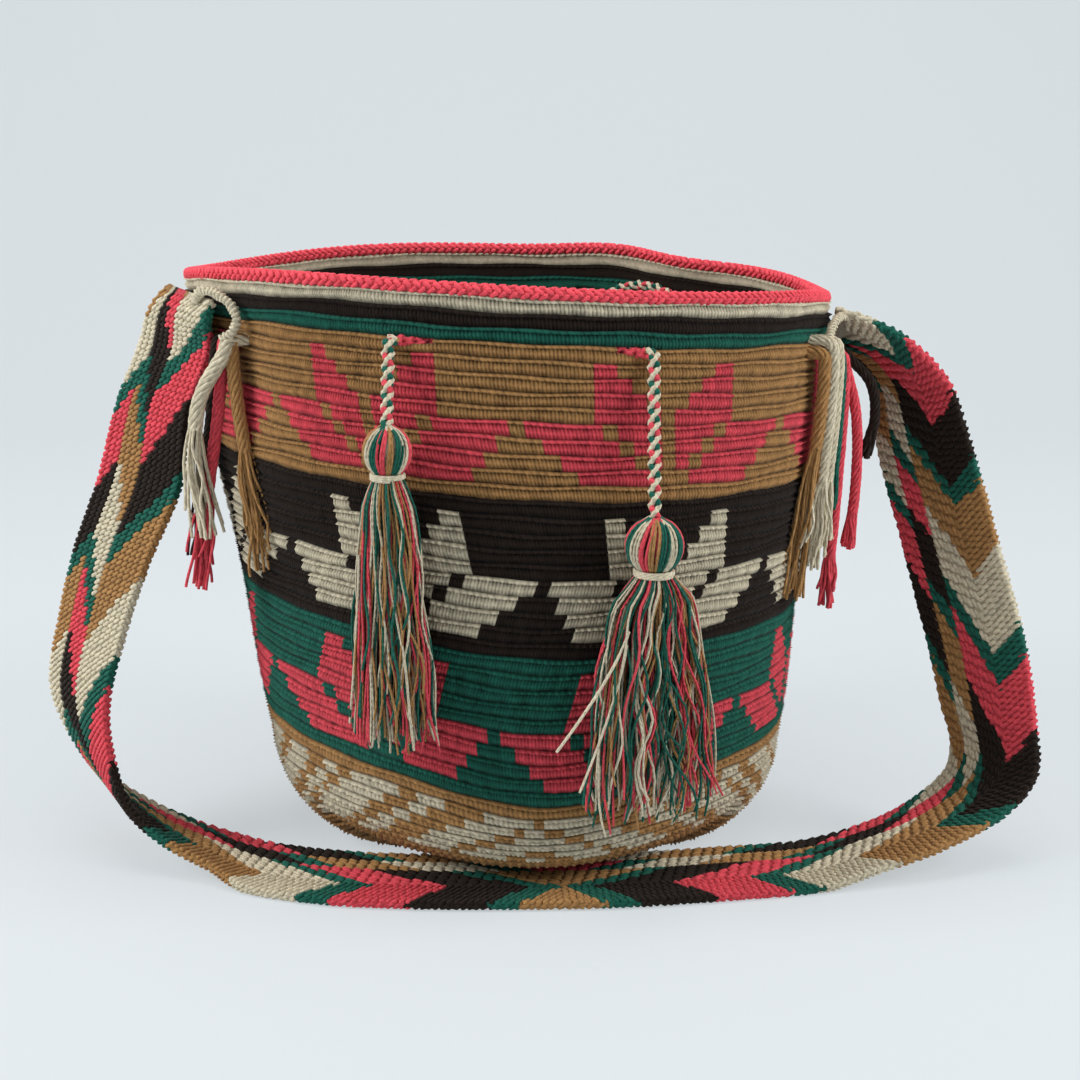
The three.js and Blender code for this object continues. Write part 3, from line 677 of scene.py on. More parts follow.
def mark_creases(mesh, count, columns):
    """Keeps the creases between rows, under the chains and beside the legs sharp."""
    pairs = np.empty(len(mesh.edges) * 2, int)
    mesh.edges.foreach_get("vertices", pairs)
    a, b = pairs.reshape(-1, 2).T
    line_a, column_a = np.divmod(a, columns)
    line_b, column_b = np.divmod(b, columns)
    parts = len(ROW_PARTS)
    along = (line_a == line_b) & np.isin(line_a % parts, (CREASE, DIP))
    in_legs = np.minimum(line_a, line_b) % parts >= DIP
    upright = (column_a == column_b) & (column_a % 2 == 0) & in_legs
    write(mesh, "EDGE", sharp_edge=(a < count) & (b < count) & (along | upright))


UNDERSIDE_ROUNDS = 13
FLOOR_ROUND_STEP = 3
ROUND_RIDGE = 0.6
UNDERSIDE_HOLLOW = 0.3


def underside(first, lowest, lowest_in):
    """Closes the base: rounds of stitches to the middle below, and a plain floor inside.

    Gives the faces, then the new points, numbered from the first one on, with the stitch and row of each.
    """
    stitches = len(lowest_in)
    turn = np.radians(np.arange(stitches) * 360 / stitches)
    rounds = np.linspace(1, 0, UNDERSIDE_ROUNDS + 1)[1:-1]
    shares = np.array([*rounds, *rounds[::FLOOR_ROUND_STEP], rounds[-1]])
    points = []
    for k, share in enumerate(shares):
        height = 0.0 if k < len(rounds) else WALL_THICKNESS
        ridge = ROUND_RIDGE if k < len(rounds) and k % 2 else 0.0
        ring = settle(np.full(stitches, BASE_FLAT_RADIUS * share), turn, np.full(stitches, height))
        points.append(ring + UP * ridge)
    points.append(np.array([UP * UNDERSIDE_HOLLOW, UP * WALL_THICKNESS]))

    rings = first + np.arange(len(shares) * stitches).reshape(-1, stitches)
    below, inside = rings[:len(rounds)], [lowest_in, *rings[len(rounds):]]
    outs = lowest.reshape(stitches, -1)
    outs = np.hstack([outs, np.roll(outs[:, :1], -1, 0)])
    joined = np.hstack([outs, np.roll(below[0], -1)[:, None], below[0][:, None]])
    quads, fans = [], []
    for nested, middle in ((below, first + rings.size), (inside, first + rings.size + 1)):
        quads += [np.stack([a, np.roll(a, -1), np.roll(b, -1), b], -1) for a, b in zip(nested, nested[1:])]
        fans.append(np.stack([nested[-1], np.roll(nested[-1], -1), np.full(stitches, middle)], -1))

    shares_at = np.array([*np.repeat(shares, stitches), 0, 0])
    stitch = np.array([*np.tile(np.arange(stitches), len(shares)), 0, 0]) + LEG_PLACE
    row = LAST_ROW + np.round(BASE_FLAT_RADIUS / ROW_PITCH * (1 - shares_at)) + ROW_PARTS[LEGS]
    return [joined, np.vstack(quads), np.vstack(fans)], np.vstack(points), stitch, row


def crochet_band(name, first_row, end_row, stitches, eyelets=(), closed_below=False):
    """One band of the crocheted wall as a closed shell: stitches outside, plain rows inside."""
    rng = np.random.default_rng(first_row + 5)
    start, angle_of = (0, base_angle) if closed_below else (-REPEAT, stitch_angle)
    outer_rows = np.array([row + part for row in range(first_row, end_row) for part in ROW_PARTS] + [end_row])
    plain_rows = np.arange(first_row, end_row + INNER_ROW_STEP / 2, INNER_ROW_STEP)
    inner_rows = outer_rows if eyelets else plain_rows
    inner_columns = 2 if eyelets else 1
    columns = start + np.arange(stitches * COLUMNS_PER_STITCH) / COLUMNS_PER_STITCH
    columns_in = start + np.arange(stitches * inner_columns) / inner_columns
    points, outward, stitch, row = band_sheet(outer_rows, columns, angle_of, eyelets, 0.0)
    inner = band_sheet(inner_rows, columns_in, angle_of, eyelets, -WALL_THICKNESS)
    count = len(points)
    out_at = np.arange(count).reshape(-1, len(columns))
    in_at = count + np.arange(len(inner[0])).reshape(-1, len(columns_in))
    groups, keep_out, keep_in = band_faces(out_at, in_at, stitches, eyelets, closed_below)
    points = np.vstack([points, inner[0]])
    outward = np.vstack([outward, -inner[1]])
    stitch = np.concatenate([stitch, inner[2] + (LEG_PLACE if eyelets else 0.0)])
    row = np.concatenate([row, inner[3]])
    if closed_below:
        closing, added, added_stitch, added_row = underside(len(points), out_at[-1], in_at[-1])
        groups += closing
        points = np.vstack([points, added])
        outward = np.vstack([outward, np.zeros_like(added)])
        stitch = np.concatenate([stitch, added_stitch])
        row = np.concatenate([row, added_row])
    mesh = mesh_of(name, points, groups)

    yarn = band_yarns(outer_rows, columns, angle_of)[keep_out]
    yarn_in = band_yarns(inner_rows, columns_in, angle_of)[keep_in]
    edge_yarn = np.full(len(mesh.polygons) - len(yarn) - len(yarn_in), BORDER_ROWS[-1] if eyelets else TAN)
    shade = rng.uniform(-1, 1, (end_row - first_row, stitches))
    shade = np.repeat(np.repeat(shade, len(ROW_PARTS), 0), COLUMNS_PER_STITCH, 1)[keep_out]
    plain = np.zeros(len(yarn_in) + len(edge_yarn))
    write(mesh, "FACE", yarn=np.concatenate([yarn, yarn_in, edge_yarn]), shade=np.concatenate([shade, plain]))
    write(mesh, "POINT", stitch=stitch, row=row, outward=outward)
    mark_creases(mesh, count, len(columns))
    turn_outward(mesh)
    return grown(piece_of(mesh), CROCHET, yarn=CROCHET_YARN)


FRONT_SLITS = (FRONT_LEFT_EYELET + SLIT_ASIDE, FRONT_RIGHT_EYELET - SLIT_ASIDE)
EYELETS = [*eyelet_windows(FRONT_SLITS, FRONT_EYELET_STITCHES),
           *eyelet_windows(REAR_EYELETS, REAR_EYELET_STITCHES)]
BODY_BANDS = [
    crochet_band("crochet_top_band", 0, BROWN_ROW, STITCHES, EYELETS),
    crochet_band("crochet_brown_band", BROWN_ROW, GREEN_ROW, STITCHES),
    crochet_band("crochet_green_band", GREEN_ROW, BASE_ROW, STITCHES),
    crochet_band("crochet_base", BASE_ROW, LAST_ROW, BASE_STITCHES, closed_below=True),
]
for band in BODY_BANDS:
    dress(band, "bag", "bag_body")


# Lines of yarn

LINE_STEP = 1.5
SAME_PLACE = 1e-4
NEARLY_UPRIGHT = 0.05


def smooth_line(stops, count):
    """The cord's line: a centripetal spline through its stops, at even steps of its own measure."""
    stops = np.asarray(stops, float)
    stops = np.vstack([2 * stops[0] - stops[1], stops, 2 * stops[-1] - stops[-2]])
    place = np.linspace(0, len(stops) - 3, count)
    index = np.minimum(place.astype(int), len(stops) - 4)
    part = (place - index)[:, None]
    p0, p1, p2, p3 = (stops[index + k] for k in range(4))
    spans = (p1 - p0, p2 - p1, p3 - p2)
    d0, d1, d2 = (np.linalg.norm(span, axis=1, keepdims=True) ** 0.5 for span in spans)
    d1 = np.where(d1 < SAME_PLACE, 1.0, d1)
    d0, d2 = np.where(d0 < SAME_PLACE, d1, d0), np.where(d2 < SAME_PLACE, d1, d2)
    m1 = ((p1 - p0) / d0 - (p2 - p0) / (d0 + d1) + (p2 - p1) / d1) * d1
    m2 = ((p2 - p1) / d1 - (p3 - p1) / (d1 + d2) + (p3 - p2) / d2) * d1
    return (p1 + m1 * part + (-3 * p1 + 3 * p2 - 2 * m1 - m2) * part ** 2
            + (2 * p1 - 2 * p2 + m1 + m2) * part ** 3)


def even_line(points, step):
    """The same line with its points an even step apart, and the length up to each."""
    length = length_along(points)
    at = np.linspace(0, length[-1], max(2, int(round(length[-1] / step)) + 1))
    return at_lengths(points, length, at), at


def frames_along(line):
    """Two directions across a line that turn with it as little as they can."""
    way = unit(np.gradient(line, axis=0))
    side = np.cross(way[0], UP)
    if np.linalg.norm(side) < NEARLY_UPRIGHT:
        side = np.cross(way[0], -FORWARD)
    sides = []
    for step in way:
        side = unit(side - step * np.dot(side, step))
        sides.append(side)
    sides = np.array(sides)
    return sides, np.cross(way, sides)


def wound(line, across, turn, reach):
    """A line wound round another one, with its own turn and reach at each point."""
    side, front = across
    way = side * np.cos(turn)[:, None] + front * np.sin(turn)[:, None]
    return line + way * np.broadcast_to(reach, len(line))[:, None]


def yarn_piece(name, strands, material, sides=6):
    """One piece made of many strands: each a line, its radius along it, its yarn and its shade."""
    points, thick, yarn, shade, along, edges = [], [], [], [], [], []
    first = 0
    for line, radius, colour, tone in strands:
        count = len(line)
        points.append(line)
        thick.append(np.broadcast_to(radius, count))
        yarn.append(np.broadcast_to(colour, count))
        shade.append(np.full(count, tone))
        along.append(length_along(line))
        edges.append(first + np.stack([np.arange(count - 1), np.arange(1, count)], -1))
        first += count
    mesh = mesh_of(name, np.vstack(points), [], np.vstack(edges))
    write(mesh, "POINT", thick=np.concatenate(thick) * MM, yarn=np.concatenate(yarn),
          shade=np.concatenate(shade), along=np.concatenate(along) * MM)
    return grown(piece_of(mesh), STRANDS, sides=sides, yarn=material)


CORD_YARNS = (CREAM, GREEN, CREAM, PINK)
BRAID_PITCH = 10.0
# Shares of the cord's diameter: how far out its yarns lie, how much they rise and fall, and their radius
BRAID_REACH, BRAID_LIFT, BRAID_YARN = 0.27, 0.10, 0.235
ROPE_PLIES = 7
# Shares of a rope's diameter: its core, its plies' reach and radius, and the length of one turn
ROPE_CORE, ROPE_REACH, ROPE_PLY, ROPE_LAY = 0.3, 0.33, 0.17, 4.5


def braid(line, step):
    """A round braid: half the yarns wind one way and half the other, over and under by turns."""
    line, at = even_line(line, step)
    across = frames_along(line)
    strands = []
    half = len(CORD_YARNS) / 2
    for k, colour in enumerate(CORD_YARNS):
        way = 1 if k % 2 == 0 else -1
        turn = way * 2 * math.pi * at / BRAID_PITCH + 2 * math.pi * (k // 2) / half
        lift = BRAID_LIFT * np.cos(2 * half * turn * way + (math.pi if way < 0 else 0))
        place = wound(line, across, turn, CORD_DIAMETER * (BRAID_REACH + lift))
        strands.append((place, CORD_DIAMETER * BRAID_YARN, colour, 0.2 * way))
    return strands


def rope(line, diameter, colour):
    """Plies laid round a middle one, with a long twist, light and dark by turns."""
    line, at = even_line(line, LINE_STEP)
    across = frames_along(line)
    # The core is darkened with painted shade, where it shows between the plies
    strands = [(line, diameter * ROPE_CORE, colour, -1.0)]
    for k in range(ROPE_PLIES):
        turn = 2 * math.pi * (at / (diameter * ROPE_LAY) + k / ROPE_PLIES)
        place = wound(line, across, turn, diameter * ROPE_REACH)
        strands.append((place, diameter * ROPE_PLY, colour, 0.7 - 1.4 * (k % 2)))
    return strands


# Camera, at the photograph's angle

CAMERA_TILT = 13.4
camera_data = bpy.data.cameras.new("camera")
camera_data.sensor_width = 36.0
camera_data.lens = 60.4
camera = bpy.data.objects.new("camera", camera_data)
camera.location = (0.005, -0.75, 0.296)
camera.rotation_euler = (math.radians(90 - CAMERA_TILT), 0, 0)
scene.collection.objects.link(camera)
scene.camera = camera


# Drawstring, threaded round the mouth, with its two ends hanging in front

INSIDE = -(WALL_THICKNESS + CORD_DIAMETER / 2 + CORD_WALL_CLEARANCE)
OUTSIDE = CORD_DIAMETER / 2 + CORD_WALL_CLEARANCE
# From each front cord's hanging place into its slit and back along the inside: degrees aside and distance out
SLIT_ROUTE = ((CROSSING_HALF_ANGLE, OUTSIDE), (4.3, 1.2), (5.2, -1.9), (7.0, -3.1), (8.7, -4.6),
              (8.0, INSIDE), (3.0, INSIDE))
# One stretch inside the rear wall lies a little higher, in rows
SLACK_STRETCH = 2
SLACK_LIFT = 1.3
STRETCH_STEP_ANGLE = 12.0
DRAWSTRING_SAMPLES = 1100
HANGING_SAMPLES = 60
DRAWSTRING_STEP = 1.1
HANGING_STEP = 0.7
# Steps of the braid from each end between which only pink shows
PINK_FROM, PINK_TO = 2, 17


def drawstring_line():
    stops = [FRONT_RIGHT_EYELET, *REAR_EYELETS, FRONT_LEFT_EYELET + 360]
    points = []
    for k, (here, there) in enumerate(zip(stops, stops[1:])):
        offset = INSIDE if k % 2 == 0 else OUTSIDE
        begin, end = here + CROSSING_HALF_ANGLE, there - CROSSING_HALF_ANGLE
        count = max(4, round((end - begin) / STRETCH_STEP_ANGLE))
        lift = SLACK_LIFT * (k == SLACK_STRETCH) * np.sin(np.linspace(0, math.pi, count + 1))
        points += list(wall_point(np.linspace(begin, end, count + 1), EYELET_ROWS_DOWN - lift, offset))
    right, left = ([wall_point(stops[end] + way * turn, EYELET_ROWS_DOWN, out) for turn, out in SLIT_ROUTE]
                   for end, way in ((0, -1), (-1, 1)))
    return smooth_line(right + points + left[::-1], DRAWSTRING_SAMPLES)


def drawstring():
    """The braid, showing only its pink yarn where it lies in the two front slits."""
    strands = []
    for line, thick, colour, tone in braid(drawstring_line(), DRAWSTRING_STEP):
        steps = np.arange(len(line))
        from_end = np.minimum(steps, steps[::-1])
        in_slit = (from_end > PINK_FROM) & (from_end < PINK_TO)
        strands.append((line, thick, np.where(in_slit, PINK, colour), tone))
    return yarn_piece("drawstring_braid", strands, PLY_YARN)


dress(drawstring(), "bag", "drawstring")


# Tassels

NECK_SHARE = 0.76
SKIRT_FLARE = 0.62
SKIRT_FLATTEN = 0.56
FLATTEN_OVER = 0.25
FLUTE_DEPTH = 0.07
# How soon the strands spread sideways below the tie, and the share of the skirt over which they do
SPREAD_FLARE = 0.36
SPREAD_OVER = 1 / 9
TIE_SHARE = 0.8
TIE_TURNS = 2.6


@dataclass
class Tassel:
    """One tassel: sizes from its eyelet down, its yarns, and its strays' reach aside and share of it."""

    name: str
    eyelet: float
    side: int
    drop: float
    head: float
    head_radius: float
    skirt: float
    skirt_radius: float
    raised: float
    spread: float
    seed: int
    mix: tuple
    strays: tuple

    def __post_init__(self):
        angle = self.eyelet + self.side * CROSSING_HALF_ANGLE
        self.body = f"{self.name}_tassel"
        self.pivot = wall_point(angle, EYELET_ROWS_DOWN, OUTSIDE)
        self.outwards = flat_outward(angle, EYELET_ROWS_DOWN)
        self.across = np.cross(self.outwards, UP)
        self.neck = self.head_radius * NECK_SHARE
        self.hang = self.skirt + self.raised
        self.top = self.pivot[2] - self.drop + self.raised
        clear = self.stand_off() + CORD_WALL_CLEARANCE - float(self.pivot @ self.outwards)
        self.crown = self.pivot + FORWARD * clear / float(FORWARD @ self.outwards)
        self.crown[2] = self.top

    def reach(self, share):
        """The skirt's radius at a share of its length."""
        return self.neck + (self.skirt_radius - self.neck) * np.maximum(share, 0) ** SKIRT_FLARE

    def flatten(self, depth):
        """How flat the skirt has become at a depth below the crown."""
        return 1 - (1 - SKIRT_FLATTEN) * smooth((depth - self.head) / (self.skirt * FLATTEN_OVER))

    def stand_off(self):
        """How far out the tassel's middle lies so that its widest part just clears the wall."""
        furthest = 0.0
        for rows in np.arange(EYELET_ROWS_DOWN, (WALL_HEIGHT - BASE_CORNER_RADIUS) / ROW_PITCH):
            wall = wall_point(self.eyelet, rows, 0.0)
            depth = self.pivot[2] - self.drop - wall[2]
            share = (depth - self.head) / self.skirt
            if 0 < depth < self.head + self.skirt:
                half = self.reach(share) * self.flatten(depth) if share > 0 else self.head_radius
                furthest = max(furthest, float(wall @ self.outwards) + half * (1 + FLUTE_DEPTH))
        return furthest

    def place(self, radius, turn, depth):
        """Points by their distance and turn round the tassel's middle and their depth below its crown."""
        share = np.maximum(depth - self.head, 1e-6) / self.hang
        soon = self.spread * self.reach(share ** (SPREAD_FLARE / SKIRT_FLARE)) / self.reach(share)
        wider = 1 + (soon - 1) * smooth(share / SPREAD_OVER)
        point = self.crown + self.across * (radius * wider * np.sin(turn))[:, None]
        point = point - self.outwards * (radius * np.cos(turn) * self.flatten(depth))[:, None]
        point[:, 2] = self.top - depth
        return point


TASSELS = (
    Tassel("left", eyelet=FRONT_LEFT_EYELET, side=1, drop=33.0, head=19.0, head_radius=8.6, skirt=98.0,
           skirt_radius=17.5, raised=4.0, spread=0.94, seed=11,
           mix=(PINK, TAN, GREEN, CREAM, PINK, TAN, CREAM, GREEN), strays=((-7, 0.5), (6, 0.9))),
    Tassel("right", eyelet=FRONT_RIGHT_EYELET, side=-1, drop=62.0, head=21.0, head_radius=10.4, skirt=88.0,
           skirt_radius=26.0, raised=5.5, spread=1.08, seed=23,
           mix=(CREAM, GREEN, PINK, GREEN, CREAM, PINK, TAN, GREEN), strays=((30, 0.62), (20, 0.8))),
)
# Loops of the head, the outer ones and those under them: how many, share of the head's radius, and thickness
HEAD_LOOPS = ((48, 1.0, 0.66), (16, 0.7, 1.3))
LOOPS_A_COLOUR = 3
LOOP_POINTS = 14
# The head is rounded down to this far above the tie, and its yarns and the skirt's overlap in the tie
HEAD_LOW_EDGE = 2.6
TIE_OVERLAP = 1.0
SKIRT_STRANDS = 225
STRAND_POINTS = 18
# Most strands are long, others short: the share of long ones, and least and greatest shares of the skirt
LONG_STRANDS = 0.8
LONG_SHARES, SHORT_SHARES = (0.86, 1.0), (0.62, 0.86)
STRAY_POINTS = 16
TIE_POINTS = 90
# The length below the tie over which the skirt's yarns leave its hold
GATHER_FADE = 8.0
GOLDEN_TURN = 0.381966
SKIRT_YARN = 0.5
STRAY_YARN = 0.55
# A strand's slow and quick waves: least and greatest depth, then least and greatest speed
SLOW_WAVE = ((0.05, 0.2), (3, 6))
QUICK_WAVE = ((0.03, 0.08), (9, 17))
# A stray leaves the skirt at this share of its length
STRAY_START = 0.3


def hanging_cord(tassel):
    """The cord's end, from its eyelet to the tassel's crown."""
    halfway = tassel.pivot * 0.5 + tassel.crown * 0.5
    line = smooth_line([tassel.pivot, halfway, tassel.crown], HANGING_SAMPLES)
    hanging = yarn_piece(f"{tassel.name}_hanging_cord", braid(line, HANGING_STEP), PLY_YARN)
    dress(hanging, tassel.body, f"{tassel.name}_drawstring_end")


def head_loops(tassel, rng):
    """Yarns looped over the cord's end, bulging into a round head."""
    share = np.linspace(0, 1, LOOP_POINTS)
    depth = share * (tassel.head + TIE_OVERLAP)
    down = np.minimum(depth / (tassel.head - HEAD_LOW_EDGE), 1)
    bulge = np.sqrt(1 - (1 - 2 * (0.015 + 0.915 * down)) ** 2)
    loops = []
    for count, reach, thick in HEAD_LOOPS:
        radius = np.maximum((tassel.head_radius - 0.3) * bulge * reach, 1.0)
        for k in range(count):
            turn = 2 * math.pi * (k + rng.uniform(-0.25, 0.25)) / count
            twisted = turn + rng.uniform(0.1, 0.4) * (1 - share) ** 2
            colour = tassel.mix[k // LOOPS_A_COLOUR % len(tassel.mix)]
            # Painted shade darkens the loops, and their tone differs at random
            loops.append((tassel.place(radius, twisted, depth), thick, colour, rng.uniform(-2, 0.2)))
    return loops


def wave(rng, share, depths, speeds):
    return rng.uniform(*depths) * np.sin(share * rng.uniform(*speeds) + rng.uniform(0, 6.3))


def skirt_strands(tassel, rng):
    """Cut yarns below the tie, gathered in it, spreading downwards and uneven in length."""
    share = np.linspace(0, 1, STRAND_POINTS)
    thick = SKIRT_YARN * np.where(share > 0.97, 0.8, 1.0)
    strands = []
    for k in range(SKIRT_STRANDS):
        turn = 2 * math.pi * (k * GOLDEN_TURN + rng.uniform(-0.03, 0.03))
        inner = math.sqrt((k + 0.5) / SKIRT_STRANDS)
        shares = LONG_SHARES if rng.random() < LONG_STRANDS else SHORT_SHARES
        length = tassel.hang * rng.uniform(*shares)
        gathered = 1 - (1 - TIE_SHARE) * np.exp(-share * length / GATHER_FADE)
        radius = tassel.reach(share * length / tassel.hang) * (0.2 + 0.78 * inner) * gathered
        slow = wave(rng, share, *SLOW_WAVE) * share
        quick = wave(rng, share, *QUICK_WAVE) * smooth(share * 3)
        turns = turn + (slow + quick) * 1.8 + rng.uniform(-0.3, 0.3) * share
        radius = np.maximum(radius * (1 + slow + quick), 0.3)
        points = tassel.place(radius, turns, tassel.head - TIE_OVERLAP + share * length)
        colour = tassel.mix[int(rng.integers(len(tassel.mix)))]
        # Painted shade among the crowded strands darkens them all, and their tone differs at random
        strands.append((points, thick, colour, rng.uniform(-3.2, -0.4)))
    return strands


def stray_strands(tassel):
    """Single cream yarns that hang out beside the skirt."""
    share = np.linspace(0, 1, STRAY_POINTS)
    turn = np.full(STRAY_POINTS, math.pi * 0.85)
    strands = []
    for aside, drop in tassel.strays:
        depth = tassel.head + tassel.hang * drop * (STRAY_START + (1 - STRAY_START) * share)
        reach = tassel.reach(STRAY_START * drop)
        sway = aside * share ** 1.3 + math.copysign(reach * 0.5, aside)
        points = tassel.place(np.full(STRAY_POINTS, reach * 0.75), turn, depth)
        strands.append((points + tassel.across * sway[:, None], STRAY_YARN, CREAM, 0.3))
    return strands


def wound_tie(tassel):
    """Close turns of cream yarn round the tassel's neck."""
    turn = np.linspace(0, 2 * math.pi * TIE_TURNS, TIE_POINTS)
    depth = tassel.head - 2.4 + 1.9 * turn / turn[-1]
    line = tassel.place(np.full(TIE_POINTS, tassel.neck * TIE_SHARE + 0.6), turn, depth)
    return yarn_piece(f"{tassel.name}_wound_tie", [(line, 0.68, CREAM, 0.4)], PLY_YARN)


for tassel in TASSELS:
    hanging_cord(tassel)
    rng = np.random.default_rng(tassel.seed)
    yarns = head_loops(tassel, rng) + skirt_strands(tassel, rng) + stray_strands(tassel)
    bundle = yarn_piece(f"{tassel.name}_tassel_strands", yarns, PLY_YARN, 4)
    dress(bundle, tassel.body, f"{tassel.name}_tassel_yarn")
    dress(wound_tie(tassel), tassel.body, f"{tassel.name}_tassel_tie")


# Fringes: the strap's yarn ends, drawn through a cream lashing at the wall and hanging down

# Each one's angle, rows down, thickness, length, drift along the strap, yarn, corded share, looseness of its
# frayed end, shares of its drift on the way down and share of the distance it stands off the wall
SOON, LATE = (0.05, 0.8, 1.0, 0.75), (0.02, 0.2, 0.6, 1.0)
FRINGES = (
    ("left_fringe_cream", -51.0, 4.4, 6.0, 76.0, 13.0, CREAM, 0.5, 10.0, SOON, 1.0),
    ("left_fringe_tan", -51.0, 4.2, 5.5, 91.0, -9.0, TAN, 0.5, 9.0, LATE, 0.6),
    ("left_fringe_brown", -55.0, 4.4, 4.5, 86.0, 10.0, BROWN, 0.5, 5.0, LATE, 1.0),
    ("left_fringe_pink", -53.5, 4.4, 5.0, 98.0, 13.0, PINK, 0.6, 7.0, LATE, 0.8),
    ("right_fringe_tan", 63.0, 3.6, 5.5, 99.0, -10.0, TAN, 0.4, 7.0, LATE, 0.75),
    ("right_fringe_cream_front", 64.0, 2.8, 5.0, 91.0, -6.0, CREAM, 0.64, 8.0, LATE, 1.2),
    ("right_fringe_cream_rear", 66.5, 2.8, 5.0, 87.0, -5.0, CREAM, 0.66, 6.0, LATE, 1.2),
    ("right_fringe_pink_front", 72.0, 3.9, 5.0, 104.0, -4.0, PINK, 0.78, 4.0, LATE, 1.1),
    ("right_fringe_green", 70.5, 3.7, 4.5, 64.0, -2.0, GREEN, 0.7, 2.0, LATE, 1.0),
    ("right_fringe_pink_rear", 74.0, 3.9, 4.5, 80.0, 6.0, PINK, 0.8, 3.0, SOON, 1.0),
    ("right_fringe_brown", 76.0, 3.7, 4.5, 44.0, 12.0, BROWN, 0.75, 3.0, SOON, 1.0),
)
FRINGE_SUNK = 1.5
FRINGE_STUB = 5.0
FRINGE_STAND_OFF = 6.5
# Places down a fringe: share of its stand-off and share of its length
FRINGE_HANG = ((0.95, 0.07), (1, 0.3), (1, 0.62), (0.9, 1))
FRINGE_SAMPLES = 160
FRAYED_YARN = 0.62
# Close and loose frayed yarns: their reach in shares of the cord's diameter, and how much shorter some are
CLOSE_FRAY, LOOSE_FRAY_START = (0.22, 0.55), 0.3
CLOSE_SHORTER, LOOSE_SHORTER = 0.3, 0.4
LOOSE_YARNS = 9
FRINGE_SIDES = 5


def frayed(rng, line, first, count, spread, colour, shortest):
    """Loose yarns that part from a cord at a place along its line and hang on beside it."""
    side, front = frames_along(line)
    strands = []
    for k in range(count):
        turn = 2 * math.pi * k / count + rng.uniform(-0.3, 0.3)
        last = len(line) - (int(rng.uniform(0, shortest) * (len(line) - first)) if k % 3 else 0)
        share = np.linspace(0, 1, last - first)
        apart = spread[0] + (spread[1] - spread[0]) * share ** 0.8 * rng.uniform(0.4, 1.1)
        bend = turn + 0.8 * share * rng.uniform(-1, 1) + 0.25 * np.sin(share * rng.uniform(5, 9))
        place = wound(line[first:last], (side[first:last], front[first:last]), bend, apart)
        strands.append((place, FRAYED_YARN, colour, rng.uniform(-1, 1)))
    return strands


def fringe(name, angle, rows, diameter, length, drift, colour, corded, loose, shares, off):
    """A twisted cord out of the wall, frayed into its yarns below its corded share."""
    rng = np.random.default_rng(int(length * 7 + diameter * 10))
    start = wall_point(angle, rows, -FRINGE_SUNK)
    outwards = flat_outward(angle, rows)
    surface = diameter / 4 + FRINGE_SUNK
    stops = [start, start + outwards * (FRINGE_STUB * off + surface) - UP]
    for (out, down), share in zip(FRINGE_HANG, shares):
        point = start + outwards * (FRINGE_STAND_OFF * out * off + surface)
        point[0] += math.copysign(1, angle) * drift * share
        point[2] = start[2] - down * length
        stops.append(point)
    line, at = even_line(smooth_line(stops, FRINGE_SAMPLES), LINE_STEP)
    split = int(len(line) * corded)
    strands = rope(line[:split + 2], diameter, colour)
    close = [diameter * share for share in CLOSE_FRAY]
    strands += frayed(rng, line, split - 2, int(LOOSE_YARNS + diameter), close, colour, CLOSE_SHORTER)
    piece = yarn_piece(f"{name}_cord", strands, ROPE_YARN, FRINGE_SIDES)
    dress(piece, "bag", name)
    apart = (diameter * LOOSE_FRAY_START, loose)
    wide = frayed(rng, line, split, LOOSE_YARNS, apart, colour, LOOSE_SHORTER)
    dress(yarn_piece(f"{name}_frayed_end", wide, ROPE_YARN, FRINGE_SIDES), "bag", name)


for strand in FRINGES:
    fringe(*strand)

# Cream lashings that hold the strap's corners to the wall, with the cords drawn through: wall angle, rows
# down and distance out of the middle line
LASHINGS = {
    "left_fringe_cream": (
        (-58.5, 1.9, 6.4), (-55.5, 1.0, 6.6), (-52.0, 1.2, 5.0), (-49.4, 2.0, 3.4), (-48.8, 3.0, 3.4),
        (-49.8, 4.0, 5.5), (-51.8, 4.6, 8.2),
    ),
    "right_fringe_cream_front": (
        (63.5, 3.3, 6.5), (65.0, 2.8, 5.0), (67.5, 2.1, 4.2), (71.0, 1.4, 4.2), (75.0, 1.1, 5.2),
        (79.0, 1.2, 9.0), (81.0, 1.7, 14.0),
    ),
}
LASHING_PITCH = 1.7
LASHING_RADIUS = 1.5
LASHING_THICKER = 0.8
LASHING_YARN = 0.7
LASHING_SAMPLES = 120
LASHING_STEP = 0.4


def lashing(name, stops):
    """Close turns of cream yarn round a middle line, thickest where they hold the strap's corner."""
    middle = smooth_line([wall_point(*stop) for stop in stops], LASHING_SAMPLES)
    line, at = even_line(middle, LASHING_STEP)
    share = at / at[-1]
    at_corner = smooth(share * 2 - 1) if stops[0][0] > 0 else smooth(1 - share * 3)
    radius = LASHING_RADIUS + LASHING_THICKER * at_corner
    turns = wound(line, frames_along(line), 2 * math.pi * at / LASHING_PITCH, radius)
    # The middle line is darkened with painted shade, where it shows between the turns
    strands = [(line, radius, CREAM, -2.0), (turns, LASHING_YARN, CREAM, 0.4)]
    dress(yarn_piece(f"{name}_lashing", strands, PLY_YARN), "bag", name)


for name, stops in LASHINGS.items():
    lashing(name, stops)


# Pink edging worked over the rim

EDGING_STITCHES = 225
EDGING_HEIGHT = 1.5
EDGING_RADIUS = 2.1
EDGING_STITCH_LENGTH = 4.6
# Lines of the edging round its core: degrees up from the outside, and the slant of its stitches
EDGING_LINES = ((-25, 38), (30, -38), (85, 38), (140, -38), (200, 38))


def lay_floats(name, points, lies, outs, yarn, shade, **sizes):
    """One piece of short floats of yarn, each at its point, along its own line and out from the cloth."""
    mesh = mesh_of(name, points, [])
    write(mesh, "POINT", lie=np.vstack(lies), outward=np.vstack(outs), yarn=yarn, shade=shade)
    return grown(piece_of(mesh), FLOATS, yarn=STRAP_YARN, **sizes)


